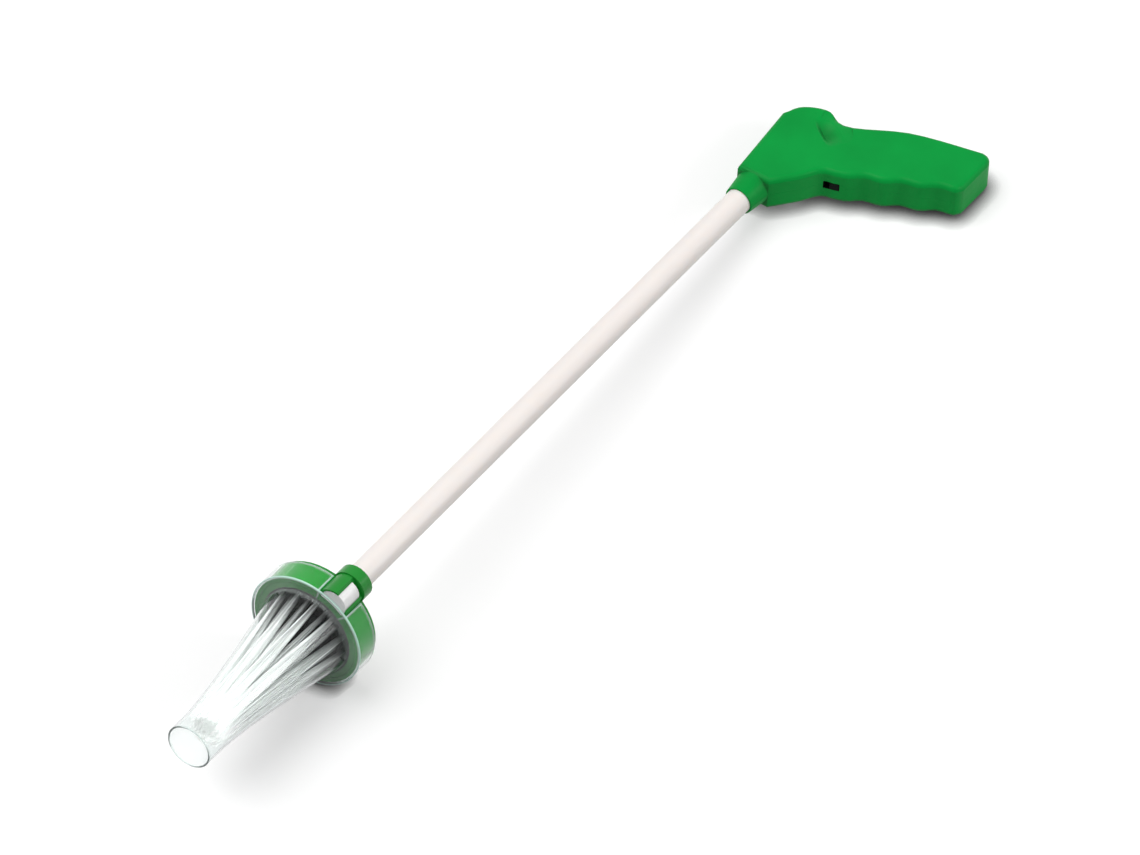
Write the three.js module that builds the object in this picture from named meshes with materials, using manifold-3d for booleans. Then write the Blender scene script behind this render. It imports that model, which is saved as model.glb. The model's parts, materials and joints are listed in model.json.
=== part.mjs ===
// A hand-held spider catcher: a pistol handle, a long tube and a drum head with a ring of bristle
// tufts under a clear storage cover. Squeezing the trigger draws a rod back through the tube, and
// the rod draws the bristle carrier back over a fixed dome, which spreads the tufts.

import * as THREE from 'three';
import { mergeVertices } from 'three/addons/utils/BufferGeometryUtils.js';
import Module from 'manifold-3d';

const wasm = await Module();
wasm.setup();

// Driving dimensions, in millimetres and degrees. In the tool's own frame X runs along the tube to
// the head, Y towards the end of the grip and Z out of the handle's upper side. The origin is on
// the tube's axis, at the rim of the handle's socket.

// Clearances and facets
const SEAT_GAP = 0.3;
const RUN_GAP = 0.35;
const OVERSHOOT = 1;
const WELD = 1e-4;
const FINE_SIDES = 40;
const ROUND_SIDES = 24;
const SMALL_SIDES = 12;

// Tube and pull rod
const TUBE_OD = 16;
const TUBE_WALL = 1.5;
const TUBE_SEAT = 24;
const TUBE_FREE = 396.5;
const ROD_D = 4;
const STROKE = 8;
const GUIDE_LENGTH = 8;
const GUIDE_COUNT = 3;
const GUIDE_INSET = 6;

// Handle outline, seen along Z: what has a reach is measured from the end of the barrel
const BODY_FRONT = 14.5;
const BARREL_FRONT_HEIGHT = 11.2;
const BARREL_BACK_HEIGHT = 15.6;
const BARREL_LENGTH = 68;
const NOTCH_REACH = 4;
const NOTCH_D = 4;
const NOTCH_DEPTH = 1.2;
const HUMP_TURN_REACH = 11.8;
const HUMP_TURN_HEIGHT = 9.2;
const HUMP_REACH = 18.6;
const HUMP_LEVEL = 5.4;
const WAIST_REACH = 14.4;
const WAIST_LEVEL = 21.3;
const PALM_REACH = 33.3;
const PALM_LEVEL = 55;
const HEEL_REACH = 45.6;
const GRIP_END = 105.5;
const CORNER = 7.5;
const CHAMFER = 3;
const FINGER_BACK = 46.8;
const FINGER_LEVEL = 44.5;
const FINGER_PITCH = 22;
const FINGER_LEAN = 27.5;
const GROOVE_STEPS = 6;
const GROOVE_DEPTH = 2.3;
const VALLEY_BACK = 41.4;
const VALLEY_LEVEL = 30.6;
const BULGE_BACK = 30;
const BULGE_LEVEL = 23.4;
const OUTLINE_STEPS = 4;

// Handle shell
const HANDLE_THICK = 24.5;
const EDGE_ROUND = 3.5;
const EDGE_STEPS = 3;
const RIM_WALL = 3;
const SIDE_WALL = 4;
const SOCKET_RIM_WALL = 1;
const SOCKET_ROOT_WALL = 2.8;
const SOCKET_BLOCK = 8;
const STOP_RIB = 1.5;
const SCOOP_BACK = 77;
const SCOOP_LEVEL = 17.5;
const SCOOP_LENGTH = 30;
const SCOOP_WIDTH = 17;
const SCOOP_DEPTH = 2.2;
const SCOOP_TURN = 54;

// Housing screws: places in the outline, and sizes
const BARREL_SCREW_BACK = 36;
const BARREL_SCREW_LEVEL = 14;
const HUMP_SCREW_REACH = 10;
const PALM_SCREW_REACH = 16;
const PALM_SCREW_LEVEL = 50;
const HEEL_SCREW_REACH = 25;
const HEEL_SCREW_INSET = 15.5;
const SCREWS = [
  { name: 'barrel', back: BARREL_SCREW_BACK, level: BARREL_SCREW_LEVEL },
  { name: 'hump', back: BARREL_LENGTH + HUMP_SCREW_REACH, level: 0 },
  { name: 'palm', back: BARREL_LENGTH + PALM_SCREW_REACH, level: PALM_SCREW_LEVEL },
  { name: 'heel', back: BARREL_LENGTH + HEEL_SCREW_REACH, level: GRIP_END - HEEL_SCREW_INSET },
];
const SCREW_D = 3;
const SCREW_HEAD_D = 5.6;
const SCREW_HEAD_HEIGHT = 2.2;
const SCREW_LENGTH = 12;
const SCREW_SINK = 4.6;
const SCREW_BOSS_WALL = 1.4;

// Trigger lever
const PIVOT_BACK = 72;
const PIVOT_LEVEL = 64;
const PIVOT_D = 4;
const PIVOT_BOSS_D = 10;
const LEVER_THICK = 5;
const LEVER_WIDTH = 8.5;
const LEVER_HUB_D = 12;
const LEVER_TOP_BACK = 57;
const LEVER_TOP_D = 10;
const LEVER_SLOT = 3;
const PAD_LEVEL = 38.3;
const PAD_WIDTH = 5.4;
const PAD_PROUD = 1.6;
const PAD_SURFACE_BACK = 44.4;

// Clevis and return spring
const CLEVIS_EAR = 2.2;
const CLEVIS_WIDTH = 10;
const CLEVIS_BASE = 3;
const CLEVIS_ROOM = 1;
const CLEVIS_TAIL = 4;
const CLEVIS_PIN_D = 4;
const SPRING_WIRE = 0.9;
const SPRING_D = 8.4;
const SPRING_TURNS = 5;
const SPRING_LENGTH = 14;
const SPRING_STEPS = 8;
const SPRING_SIDES = 5;
const SPRING_COLLAR = 2;
const SPRING_COLLAR_D = 10.4;
const WASHER = 1;
const RIB = 2;

// Drum head
const BOSS_INSET = 0.5;
const HEAD_ROLL = 27;
const CAP_LENGTH = 7;
const CAP_WALL = 2.8;
const TUBE_STOP = 1;
const DRUM_DEPTH = 17.5;
const DRUM_WALL = 2.5;
const DRUM_FLOOR = 2.5;
const BOSS_D = 20.4;
const BOSS_WALL = 1.2;
const WINDOW_FROM = -20;
const WINDOW_TO = 80;
const WINDOW_STEPS = 10;
const BEARING_NOSE = 1.5;
const RING_WALL = 3.5;
const RING_DEPTH = 7.5;

// Bristle carrier and spreader
const CARRIER_THICK = 3;
const CARRIER_RECESS = 3;
const CARRIER_GROOVE = 1.8;
const ARM_WIDTH = 5.6;
const EYE_D = 9;
const EYE_LENGTH = 5.5;
const NUT = 2;
const NUT_D = 6.6;
const POST_D = 10;
const DOME_INSET = 4.5;
const DOME_HEIGHT = 11;
const DOME_EDGE = 2;
const DOME_STEPS = 5;
const DOME_SCREW_LENGTH = 10;
const GUIDE_PIN_D = 3;
const GUIDE_PIN_CIRCLE = 26;

// Bristles: rows outwards and strands round each tuft
const TUFTS_PER_QUARTER = 3;
const QUARTERS = 4;
const TUFT_ROWS = 5;
const TUFT_COLUMNS = 6;
const BRISTLE_LENGTH = 107;
const BRISTLE_WAIST = 46;
const BRISTLE_GAP = 1.5;
const BRUSH_INSET = 3.5;
const BRUSH_DEPTH = [4.5, 5.2, 6.2];
const TUFT_SPREAD = [11, 18, 24];
const STRAND_D = [0.7, 0.5, 0.24];
const STRAND_ROOT = 0.8;
const STRAND_SIDES = 3;
const BACKING = 1.5;
const BACKING_EDGE = 1.2;
const BACKING_ARC = 86;
const BACKING_STEPS = 10;

// Storage cover
const COVER_WALL = 1.1;
const COLLAR_GAP = 0.5;
const COLLAR_LENGTH = 15;
const FLANGE_D = 77.4;
const FLANGE_LIP = 0.1;
const BELL_ROOM = 3.5;
const BELL_TIP_D = 29.6;
const BELL_LENGTH = 108;
const BELL_POWER = 1.45;
const BELL_STEPS = 8;
const TIP_LENGTH = 12.5;
const BOSS_SLOT_GAP = 0.8;

// Resting on a floor
const REST_SPLIT = 40;
const REST_STEPS = 12;

// Sizes that follow from the driving dimensions
const tubeR = TUBE_OD / 2;
const tubeBoreR = tubeR - TUBE_WALL;
const rodR = ROD_D / 2;
const rodHoleR = rodR + SEAT_GAP;
const halfThick = HANDLE_THICK / 2;
const hollowHalf = halfThick - SIDE_WALL;
const partingHalf = SEAT_GAP / 2;
const leverHalf = LEVER_THICK / 2;
const pivot = new THREE.Vector2(-PIVOT_BACK, PIVOT_LEVEL);
const leverTop = new THREE.Vector2(-LEVER_TOP_BACK, 0);
const leverArm = pivot.distanceTo(leverTop);
const leverTurn = STROKE / PIVOT_LEVEL;
const tubeBack = -TUBE_SEAT;
const stopRibBack = tubeBack - SEAT_GAP - STOP_RIB;
const springFront = stopRibBack - SEAT_GAP - SPRING_COLLAR - SEAT_GAP;
const springBack = springFront - SPRING_LENGTH;
const washerBack = springBack - SEAT_GAP - WASHER;
const ribFront = washerBack - SEAT_GAP;
const clevisFront = leverTop.x + LEVER_TOP_D / 2 + CLEVIS_ROOM + CLEVIS_BASE;
const rodBack = clevisFront - CLEVIS_BASE + SEAT_GAP;

const flangeR = FLANGE_D / 2;
const collarR = flangeR - FLANGE_LIP - COVER_WALL;
const drumR = collarR - COLLAR_GAP;
const headOffset = drumR - BOSS_INSET;
const drumBoreR = drumR - DRUM_WALL;
const drumBack = TUBE_FREE + CAP_LENGTH;
const drumFront = drumBack + DRUM_DEPTH;
const floorFace = drumBack + DRUM_FLOOR;
const bossR = BOSS_D / 2;
const bossBoreR = bossR - BOSS_WALL;
const tubeFront = drumBack - TUBE_STOP;
const ringR = drumBoreR - SEAT_GAP;
const mouthR = ringR - RING_WALL;
const carrierFront = drumFront - CARRIER_RECESS;
const carrierBack = carrierFront - CARRIER_THICK;
const carrierR = mouthR - 2 * RUN_GAP;
const brushR = carrierR - BRUSH_INSET;
const bellRootR = brushR + BELL_ROOM;
const bellTipR = BELL_TIP_D / 2;
const eyeFront = carrierFront - CARRIER_GROOVE;
const eyeBack = eyeFront - EYE_LENGTH;
const eyeChannelR = EYE_D / 2 + RUN_GAP;
const rodFront = eyeFront + SEAT_GAP + NUT + SEAT_GAP;
const postR = POST_D / 2;
const pinR = GUIDE_PIN_D / 2;
const pinHoleR = pinR + RUN_GAP;
const domeBack = carrierFront + CARRIER_RECESS;
const domeR = brushR - BRUSH_DEPTH[0] - DOME_INSET;
const flangeBack = drumFront + SEAT_GAP;

// Finishes
const finish = (color, roughness, metalness = 0) =>
  new THREE.MeshStandardMaterial({ color, roughness, metalness });
const HANDLE_GREEN = finish(0x0a9a42, 0.5);
const HEAD_GREEN = finish(0x2f9f3d, 0.35);
const TUBE_WHITE = finish(0xe8e0dc, 0.45);
const BLACK = finish(0x15171a, 0.5);
const WHITE = finish(0xf5f5f3, 0.4);
const STEEL = finish(0xb4b8bd, 0.35, 1);
const NYLON = finish(0xeceef0, 0.4);
const CLEAR = new THREE.MeshStandardMaterial({
  color: 0xe9f3f1,
  roughness: 0.08,
  transparent: true,
  opacity: 0.3,
});

// A closed geometry as a solid, with its faces pointing out
function solid(geometry) {
  const bare = new THREE.BufferGeometry();
  bare.setAttribute('position', geometry.getAttribute('position').clone());
  bare.setIndex(geometry.index);
  const merged = mergeVertices(bare, WELD);
  const corners = merged.index.array;
  const places = merged.getAttribute('position');
  const [a, b, c] = [new THREE.Vector3(), new THREE.Vector3(), new THREE.Vector3()];
  const triangles = [];
  let volume = 0;
  for (let i = 0; i < corners.length; i += 3) {
    const [p, q, r] = [corners[i], corners[i + 1], corners[i + 2]];
    if (p !== q && q !== r && r !== p) {
      triangles.push([p, q, r]);
      a.fromBufferAttribute(places, p);
      b.fromBufferAttribute(places, q);
      c.fromBufferAttribute(places, r);
      volume += a.dot(b.cross(c));
    }
  }
  const facingOut = volume > 0 ? triangles : triangles.map(([p, q, r]) => [p, r, q]);
  return new wasm.Manifold(new wasm.Mesh({
    numProp: 3,
    vertProperties: new Float32Array(places.array),
    triVerts: new Uint32Array(facingOut.flat()),
  }));
}

const joined = (first, ...rest) => rest.reduce((sum, next) => sum.add(next), first);
const cut = (first, ...rest) => rest.reduce((left, next) => left.subtract(next), first);

// A solid as a named mesh
function piece(name, shape, material) {
  const { vertProperties, triVerts } = shape.getMesh();
  const geometry = new THREE.BufferGeometry();
  geometry.setAttribute('position', new THREE.BufferAttribute(new Float32Array(vertProperties), 3));
  geometry.setIndex(new THREE.BufferAttribute(new Uint32Array(triVerts), 1));
  geometry.computeVertexNormals();
  const mesh = new THREE.Mesh(geometry, material);
  mesh.name = name;
  return mesh;
}

// A block between two corners
function block(x0, x1, y0, y1, z0, z1) {
  const geometry = new THREE.BoxGeometry(x1 - x0, y1 - y0, z1 - z0);
  geometry.translate((x0 + x1) / 2, (y0 + y1) / 2, (z0 + z1) / 2);
  return solid(geometry);
}

// A round bar along X
function bar(r, x0, x1, { y = 0, z = 0, sides = ROUND_SIDES } = {}) {
  const geometry = new THREE.CylinderGeometry(r, r, x1 - x0, sides);
  geometry.rotateZ(-Math.PI / 2);
  geometry.translate((x0 + x1) / 2, y, z);
  return solid(geometry);
}

// A round post along Z
function post(r, x, y, z0, z1, sides = ROUND_SIDES) {
  const geometry = new THREE.CylinderGeometry(r, r, z1 - z0, sides);
  geometry.rotateX(Math.PI / 2);
  geometry.translate(x, y, (z0 + z1) / 2);
  return solid(geometry);
}

// A profile of [x, radius] pairs turned about X, closed on itself
function turned(profile, sides = ROUND_SIDES) {
  const points = [...profile, profile[0]].map(([x, r]) => new THREE.Vector2(r, x));
  const geometry = new THREE.LatheGeometry(points, sides);
  geometry.rotateZ(-Math.PI / 2);
  return solid(geometry);
}

// A ring about X
const ring = (inner, outer, x0, x1, sides) =>
  turned([[x0, inner], [x0, outer], [x1, outer], [x1, inner]], sides);

// Rings of points joined into a closed skin
function loft(rings) {
  const count = rings[0].length;
  const places = rings.flat().flatMap((point) => [point.x, point.y, point.z]);
  const faces = [];
  for (let i = 0; i + 1 < rings.length; i += 1) {
    for (let j = 0; j < count; j += 1) {
      const [p, q] = [i * count + j, i * count + ((j + 1) % count)];
      faces.push(p, q, q + count, p, q + count, p + count);
    }
  }
  const last = (rings.length - 1) * count;
  for (let j = 1; j + 1 < count; j += 1) {
    faces.push(0, j + 1, j, last, last + j, last + j + 1);
  }
  const geometry = new THREE.BufferGeometry();
  geometry.setAttribute('position', new THREE.Float32BufferAttribute(places, 3));
  geometry.setIndex(faces);
  return geometry;
}

// A point at a radius and an angle about X, the angle counted from +Z towards +Y
function polar(x, r, degrees) {
  const angle = THREE.MathUtils.degToRad(degrees);
  return new THREE.Vector3(x, r * Math.sin(angle), r * Math.cos(angle));
}

// A shape in the plane of Y and Z drawn along X
function drawnAlongX(shape, x0, x1, steps) {
  const geometry = new THREE.ExtrudeGeometry(shape, {
    depth: x1 - x0,
    bevelEnabled: false,
    curveSegments: steps,
  });
  geometry.rotateX(Math.PI / 2);
  geometry.rotateZ(Math.PI / 2);
  geometry.translate(x0, 0, 0);
  return solid(geometry);
}

// The handle's outline: barrel, hump, waist, palm, end of the grip, finger grooves and bulge
function handleOutline() {
  const lean = THREE.MathUtils.degToRad(FINGER_LEAN);
  const downGrip = new THREE.Vector2(-Math.sin(lean), Math.cos(lean));
  const inwards = new THREE.Vector2(-Math.cos(lean), -Math.sin(lean));
  const firstCrest = new THREE.Vector2(-FINGER_BACK, FINGER_LEVEL);
  const onFingers = (pitches, depth) => firstCrest.clone()
    .addScaledVector(downGrip, pitches * FINGER_PITCH)
    .addScaledVector(inwards, depth);
  const gripPitches = (GRIP_END - FINGER_LEVEL) / (FINGER_PITCH * downGrip.y);
  const endCorner = onFingers(gripPitches, 0);
  const lastPitch = gripPitches - CHAMFER / FINGER_PITCH;
  const waveSteps = Math.round(lastPitch * GROOVE_STEPS);
  const behindBarrel = (reach, level) => new THREE.Vector2(-BARREL_LENGTH - reach, level);

  const shape = new THREE.Shape();
  shape.moveTo(-BODY_FRONT, -BARREL_FRONT_HEIGHT);
  shape.lineTo(-BARREL_LENGTH, -BARREL_BACK_HEIGHT);
  shape.splineThru([
    behindBarrel(HUMP_TURN_REACH, -HUMP_TURN_HEIGHT),
    behindBarrel(HUMP_REACH, HUMP_LEVEL),
    behindBarrel(WAIST_REACH, WAIST_LEVEL),
    behindBarrel(PALM_REACH, PALM_LEVEL),
    behindBarrel(HEEL_REACH, GRIP_END - CORNER),
  ]);
  const heel = behindBarrel(HEEL_REACH, GRIP_END);
  shape.quadraticCurveTo(heel.x, heel.y, heel.x + CORNER, heel.y);
  shape.lineTo(endCorner.x - CHAMFER, GRIP_END);
  for (let step = waveSteps; step >= 0; step -= 1) {
    const pitches = (lastPitch * step) / waveSteps;
    const wave = (1 - Math.cos(2 * Math.PI * pitches)) / 2;
    const place = onFingers(pitches, GROOVE_DEPTH * wave);
    shape.lineTo(place.x, place.y);
  }
  shape.splineThru([
    new THREE.Vector2(-PAD_SURFACE_BACK, PAD_LEVEL),
    new THREE.Vector2(-VALLEY_BACK, VALLEY_LEVEL),
    new THREE.Vector2(-BULGE_BACK, BULGE_LEVEL),
    new THREE.Vector2(-BODY_FRONT, BARREL_FRONT_HEIGHT),
  ]);
  return shape;
}

// The handle's outer form in one piece: the rounded body and the socket that tapers to its rim
function handleBody(outline) {
  const geometry = new THREE.ExtrudeGeometry(outline, {
    depth: HANDLE_THICK - 2 * EDGE_ROUND,
    curveSegments: OUTLINE_STEPS,
    bevelSize: EDGE_ROUND,
    bevelThickness: EDGE_ROUND,
    bevelOffset: -EDGE_ROUND,
    bevelSegments: EDGE_STEPS,
  });
  geometry.translate(0, 0, EDGE_ROUND - halfThick);
  const rimR = tubeR + SEAT_GAP + SOCKET_RIM_WALL;
  const rootR = tubeR + SEAT_GAP + SOCKET_ROOT_WALL;
  const rootBack = -BODY_FRONT - EDGE_ROUND;
  const socket = turned([[0, 0], [0, rimR], [-BODY_FRONT, rootR], [rootBack, rootR], [rootBack, 0]]);
  const topSlope = (BARREL_BACK_HEIGHT - HUMP_TURN_HEIGHT) / HUMP_TURN_REACH;
  const notchTop = topSlope * NOTCH_REACH - BARREL_BACK_HEIGHT + NOTCH_DEPTH;
  const notch = post(NOTCH_D / 2, -BARREL_LENGTH - NOTCH_REACH, notchTop - NOTCH_D / 2,
    -HANDLE_THICK, HANDLE_THICK);
  return solid(geometry).add(socket).subtract(notch);
}

// The hollow inside the handle's walls
function handleHollow(outline) {
  const lip = SIDE_WALL / 2;
  const geometry = new THREE.ExtrudeGeometry(outline, {
    depth: 2 * (hollowHalf - lip),
    curveSegments: OUTLINE_STEPS,
    bevelSize: 0,
    bevelThickness: lip,
    bevelOffset: -RIM_WALL,
    bevelSegments: 1,
  });
  geometry.translate(0, 0, lip - hollowHalf);
  return solid(geometry);
}

// Ribs and bosses inside the handle: tube socket, spring rib, pivot boss and screw bosses
function handleRibs() {
  const socketR = tubeR + SOCKET_BLOCK;
  const socketBlock = block(stopRibBack, -BODY_FRONT, -socketR, socketR, -halfThick, halfThick);
  const springRib = block(ribFront - RIB, ribFront, -socketR, SPRING_COLLAR_D, -halfThick, halfThick);
  const screwBossR = SCREW_HEAD_D / 2 + SEAT_GAP + SCREW_BOSS_WALL;
  const screwBosses = SCREWS.map(({ back, level }) =>
    post(screwBossR, -back, level, -halfThick, halfThick, SMALL_SIDES));
  const pivotBoss = cut(
    post(PIVOT_BOSS_D / 2, pivot.x, pivot.y, -halfThick, halfThick, SMALL_SIDES),
    block(pivot.x - PIVOT_BOSS_D, pivot.x + PIVOT_BOSS_D, pivot.y - PIVOT_BOSS_D,
      pivot.y + PIVOT_BOSS_D, -leverHalf - RUN_GAP, leverHalf + RUN_GAP),
  );
  return joined(socketBlock, springRib, pivotBoss, ...screwBosses);
}

// A shallow oval scoop for the thumb, on the side that z points to
function thumbScoop(side) {
  const geometry = new THREE.SphereGeometry(1, ROUND_SIDES, SMALL_SIDES);
  geometry.scale(SCOOP_LENGTH / 2, SCOOP_WIDTH / 2, SCOOP_DEPTH);
  geometry.rotateZ(THREE.MathUtils.degToRad(SCOOP_TURN));
  geometry.translate(-SCOOP_BACK, SCOOP_LEVEL, side * halfThick);
  return solid(geometry);
}

// Bores, holes and slots cut through both halves of the handle
function handleOpenings() {
  const tubeBore = bar(tubeR + SEAT_GAP, tubeBack - SEAT_GAP, OVERSHOOT);
  const stopHole = bar(SPRING_COLLAR_D / 2 + RUN_GAP, stopRibBack - OVERSHOOT, tubeBack);
  const ribHole = bar(rodR + RUN_GAP, ribFront - RIB - OVERSHOOT, ribFront + OVERSHOOT,
    { sides: SMALL_SIDES });
  const pivotEnd = halfThick - SIDE_WALL / 2;
  const pivotHole = post(PIVOT_D / 2 + SEAT_GAP, pivot.x, pivot.y, -pivotEnd, pivotEnd, SMALL_SIDES);
  const padSlide = leverTurn * (pivot.x + PAD_SURFACE_BACK);
  const slotHalf = PAD_WIDTH / 2 + RUN_GAP;
  const padSlot = block(-PAD_SURFACE_BACK - 2 * RIM_WALL, -PAD_SURFACE_BACK + 2 * RIM_WALL,
    PAD_LEVEL - slotHalf - Math.abs(padSlide), PAD_LEVEL + slotHalf,
    -leverHalf - SEAT_GAP, leverHalf + SEAT_GAP);
  const screwFloor = screwSeat();
  const screwHoles = SCREWS.flatMap(({ back, level }) => [
    post(SCREW_HEAD_D / 2 + SEAT_GAP, -back, level, -halfThick - OVERSHOOT, screwFloor, SMALL_SIDES),
    post(SCREW_D / 2 + SEAT_GAP, -back, level, screwFloor - OVERSHOOT,
      screwFloor + SCREW_LENGTH + SEAT_GAP, SMALL_SIDES),
  ]);
  return joined(tubeBore, stopHole, ribHole, pivotHole, padSlot, ...screwHoles);
}

// The level in the lower half that the screw heads seat on
function screwSeat() {
  return -halfThick + SCREW_SINK + SCREW_HEAD_HEIGHT;
}

// Both halves of the handle, parted on its mid-plane
function makeHandleHalves() {
  const outline = handleOutline();
  const body = handleBody(outline);
  const walls = body.subtract(handleHollow(outline));
  const whole = walls.add(handleRibs().intersect(body)).subtract(handleOpenings());
  const reach = GRIP_END + BARREL_LENGTH + HEEL_REACH;
  const upperSpace = block(-reach, reach, -reach, reach, partingHalf, HANDLE_THICK);
  const lowerSpace = block(-reach, reach, -reach, reach, -HANDLE_THICK, -partingHalf);
  return [
    piece('handle_half_upper', whole.intersect(upperSpace).subtract(thumbScoop(1)), HANDLE_GREEN),
    piece('handle_half_lower', whole.intersect(lowerSpace).subtract(thumbScoop(-1)), HANDLE_GREEN),
  ];
}

// The screws that hold the halves together, put in from the lower side
function makeHousingScrews() {
  const seat = screwSeat();
  return SCREWS.map(({ name, back, level }) => {
    const headBottom = seat - SEAT_GAP - SCREW_HEAD_HEIGHT;
    const head = post(SCREW_HEAD_D / 2, -back, level, headBottom, seat - SEAT_GAP, SMALL_SIDES);
    const shank = post(SCREW_D / 2, -back, level, headBottom, seat - SEAT_GAP + SCREW_LENGTH, SMALL_SIDES);
    return piece(`housing_screw_${name}`, head.add(shank), STEEL);
  });
}

// The trigger: a flat lever with the finger pad near its pivot and a slotted fork at its top
function makeTrigger() {
  const arm = new THREE.BoxGeometry(LEVER_WIDTH, leverArm, LEVER_THICK);
  const tilt = Math.atan2(leverTop.x - pivot.x, pivot.y - leverTop.y);
  arm.rotateZ(tilt);
  arm.translate((pivot.x + leverTop.x) / 2, (pivot.y + leverTop.y) / 2, 0);
  const hub = post(LEVER_HUB_D / 2, pivot.x, pivot.y, -leverHalf, leverHalf);
  const top = post(LEVER_TOP_D / 2, leverTop.x, leverTop.y, -leverHalf, leverHalf);
  const padRoot = pivot.x + (leverTop.x - pivot.x) * (pivot.y - PAD_LEVEL) / pivot.y;
  const pad = block(padRoot, PAD_PROUD - PAD_SURFACE_BACK, PAD_LEVEL - PAD_WIDTH / 2,
    PAD_LEVEL + PAD_WIDTH / 2, -leverHalf, leverHalf);
  const slotR = CLEVIS_PIN_D / 2 + RUN_GAP;
  const slot = new THREE.BoxGeometry(2 * slotR, LEVER_SLOT, 2 * LEVER_THICK);
  slot.rotateZ(tilt);
  const alongArm = new THREE.Vector2(-Math.sin(tilt), Math.cos(tilt)).multiplyScalar(LEVER_SLOT / 2);
  const slotEnds = [1, -1].map((way) => post(slotR, leverTop.x + way * alongArm.x,
    leverTop.y + way * alongArm.y, -LEVER_THICK, LEVER_THICK, SMALL_SIDES));
  slot.translate(leverTop.x, leverTop.y, 0);
  const pivotHole = post(PIVOT_D / 2 + RUN_GAP, pivot.x, pivot.y, -LEVER_THICK, LEVER_THICK);
  const lever = cut(joined(solid(arm), hub, top, pad), solid(slot), ...slotEnds, pivotHole);
  const pinEnd = halfThick - SIDE_WALL / 2 - SEAT_GAP;
  const pin = post(PIVOT_D / 2, pivot.x, pivot.y, -pinEnd, pinEnd, SMALL_SIDES);
  return [piece('trigger_lever', lever, BLACK), piece('trigger_pivot_pin', pin, STEEL)];
}

// The fork on the back end of the rod, and the pin that the lever's slot pulls on
function makeClevis() {
  const earInner = leverHalf + RUN_GAP;
  const earOuter = earInner + CLEVIS_EAR;
  const half = CLEVIS_WIDTH / 2;
  const back = leverTop.x - CLEVIS_TAIL;
  const body = block(back, clevisFront, -half, half, -earOuter, earOuter);
  const gap = block(back - OVERSHOOT, clevisFront - CLEVIS_BASE, -CLEVIS_WIDTH, CLEVIS_WIDTH,
    -earInner, earInner);
  const rodHole = bar(rodHoleR, rodBack - OVERSHOOT, clevisFront + OVERSHOOT, { sides: SMALL_SIDES });
  const pinHole = post(CLEVIS_PIN_D / 2 + SEAT_GAP, leverTop.x, 0, -HANDLE_THICK, HANDLE_THICK, SMALL_SIDES);
  const pin = post(CLEVIS_PIN_D / 2, leverTop.x, 0, -earOuter, earOuter, SMALL_SIDES);
  return [
    piece('rod_clevis', cut(body, gap, rodHole, pinHole), STEEL),
    piece('clevis_pin', pin, STEEL),
  ];
}

// Points round the spring's wire, from end to end
function springRings() {
  const coilR = (SPRING_D - SPRING_WIRE) / 2;
  const steps = SPRING_TURNS * SPRING_STEPS;
  const span = SPRING_LENGTH - SPRING_WIRE;
  const rings = [];
  for (let i = 0; i <= steps; i += 1) {
    const x = springBack + SPRING_WIRE / 2 + (span * i) / steps;
    const turn = (360 * i) / SPRING_STEPS;
    const outwards = polar(0, 1, turn);
    const centre = polar(x, coilR, turn);
    const section = [];
    for (let j = 0; j < SPRING_SIDES; j += 1) {
      const angle = (2 * Math.PI * j) / SPRING_SIDES;
      section.push(centre.clone()
        .addScaledVector(outwards, Math.cos(angle) * SPRING_WIRE / 2)
        .add(new THREE.Vector3(Math.sin(angle) * SPRING_WIRE / 2, 0, 0)));
    }
    rings.push(section);
  }
  return rings;
}

// The least gap between the wire of one turn and the wire of the next
function leastTurnGap(rings) {
  let least = Infinity;
  for (let i = 0; i + SPRING_STEPS < rings.length; i += 1) {
    for (const near of rings[i]) {
      for (const far of rings[i + SPRING_STEPS]) {
        least = Math.min(least, near.distanceTo(far));
      }
    }
  }
  return least;
}

// The return spring on the rod, the collar that it pushes and the washer that it stands on
function makeReturnSpring() {
  const rings = springRings();
  console.log(`least gap between spring turns ${leastTurnGap(rings).toFixed(2)} mm`);
  const collarBack = springFront + SEAT_GAP;
  const collar = ring(rodHoleR, SPRING_COLLAR_D / 2, collarBack, collarBack + SPRING_COLLAR);
  const washer = ring(rodR + RUN_GAP, SPRING_COLLAR_D / 2, washerBack, washerBack + WASHER);
  return [
    piece('return_spring', solid(loft(rings)), STEEL),
    piece('spring_collar', collar, STEEL),
    piece('spring_washer', washer, STEEL),
  ];
}

// The tube, the bushes that guide the rod in it, and the rod
function makeTubeAndRod() {
  const tube = ring(tubeBoreR, tubeR, tubeBack, tubeFront, ROUND_SIDES);
  const rod = bar(rodR, rodBack, rodFront, { sides: SMALL_SIDES });
  const firstGuide = tubeBack + GUIDE_INSET;
  const lastGuide = TUBE_FREE - STROKE - GUIDE_LENGTH;
  const guides = [];
  for (let i = 0; i < GUIDE_COUNT; i += 1) {
    const x = firstGuide + ((lastGuide - firstGuide) * i) / (GUIDE_COUNT - 1);
    const bush = ring(rodR + RUN_GAP, tubeBoreR - SEAT_GAP, x, x + GUIDE_LENGTH, SMALL_SIDES);
    guides.push(piece(`rod_guide_${i + 1}`, bush, WHITE));
  }
  return [piece('tube', tube, TUBE_WHITE), piece('pull_rod', rod, STEEL), ...guides];
}

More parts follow.
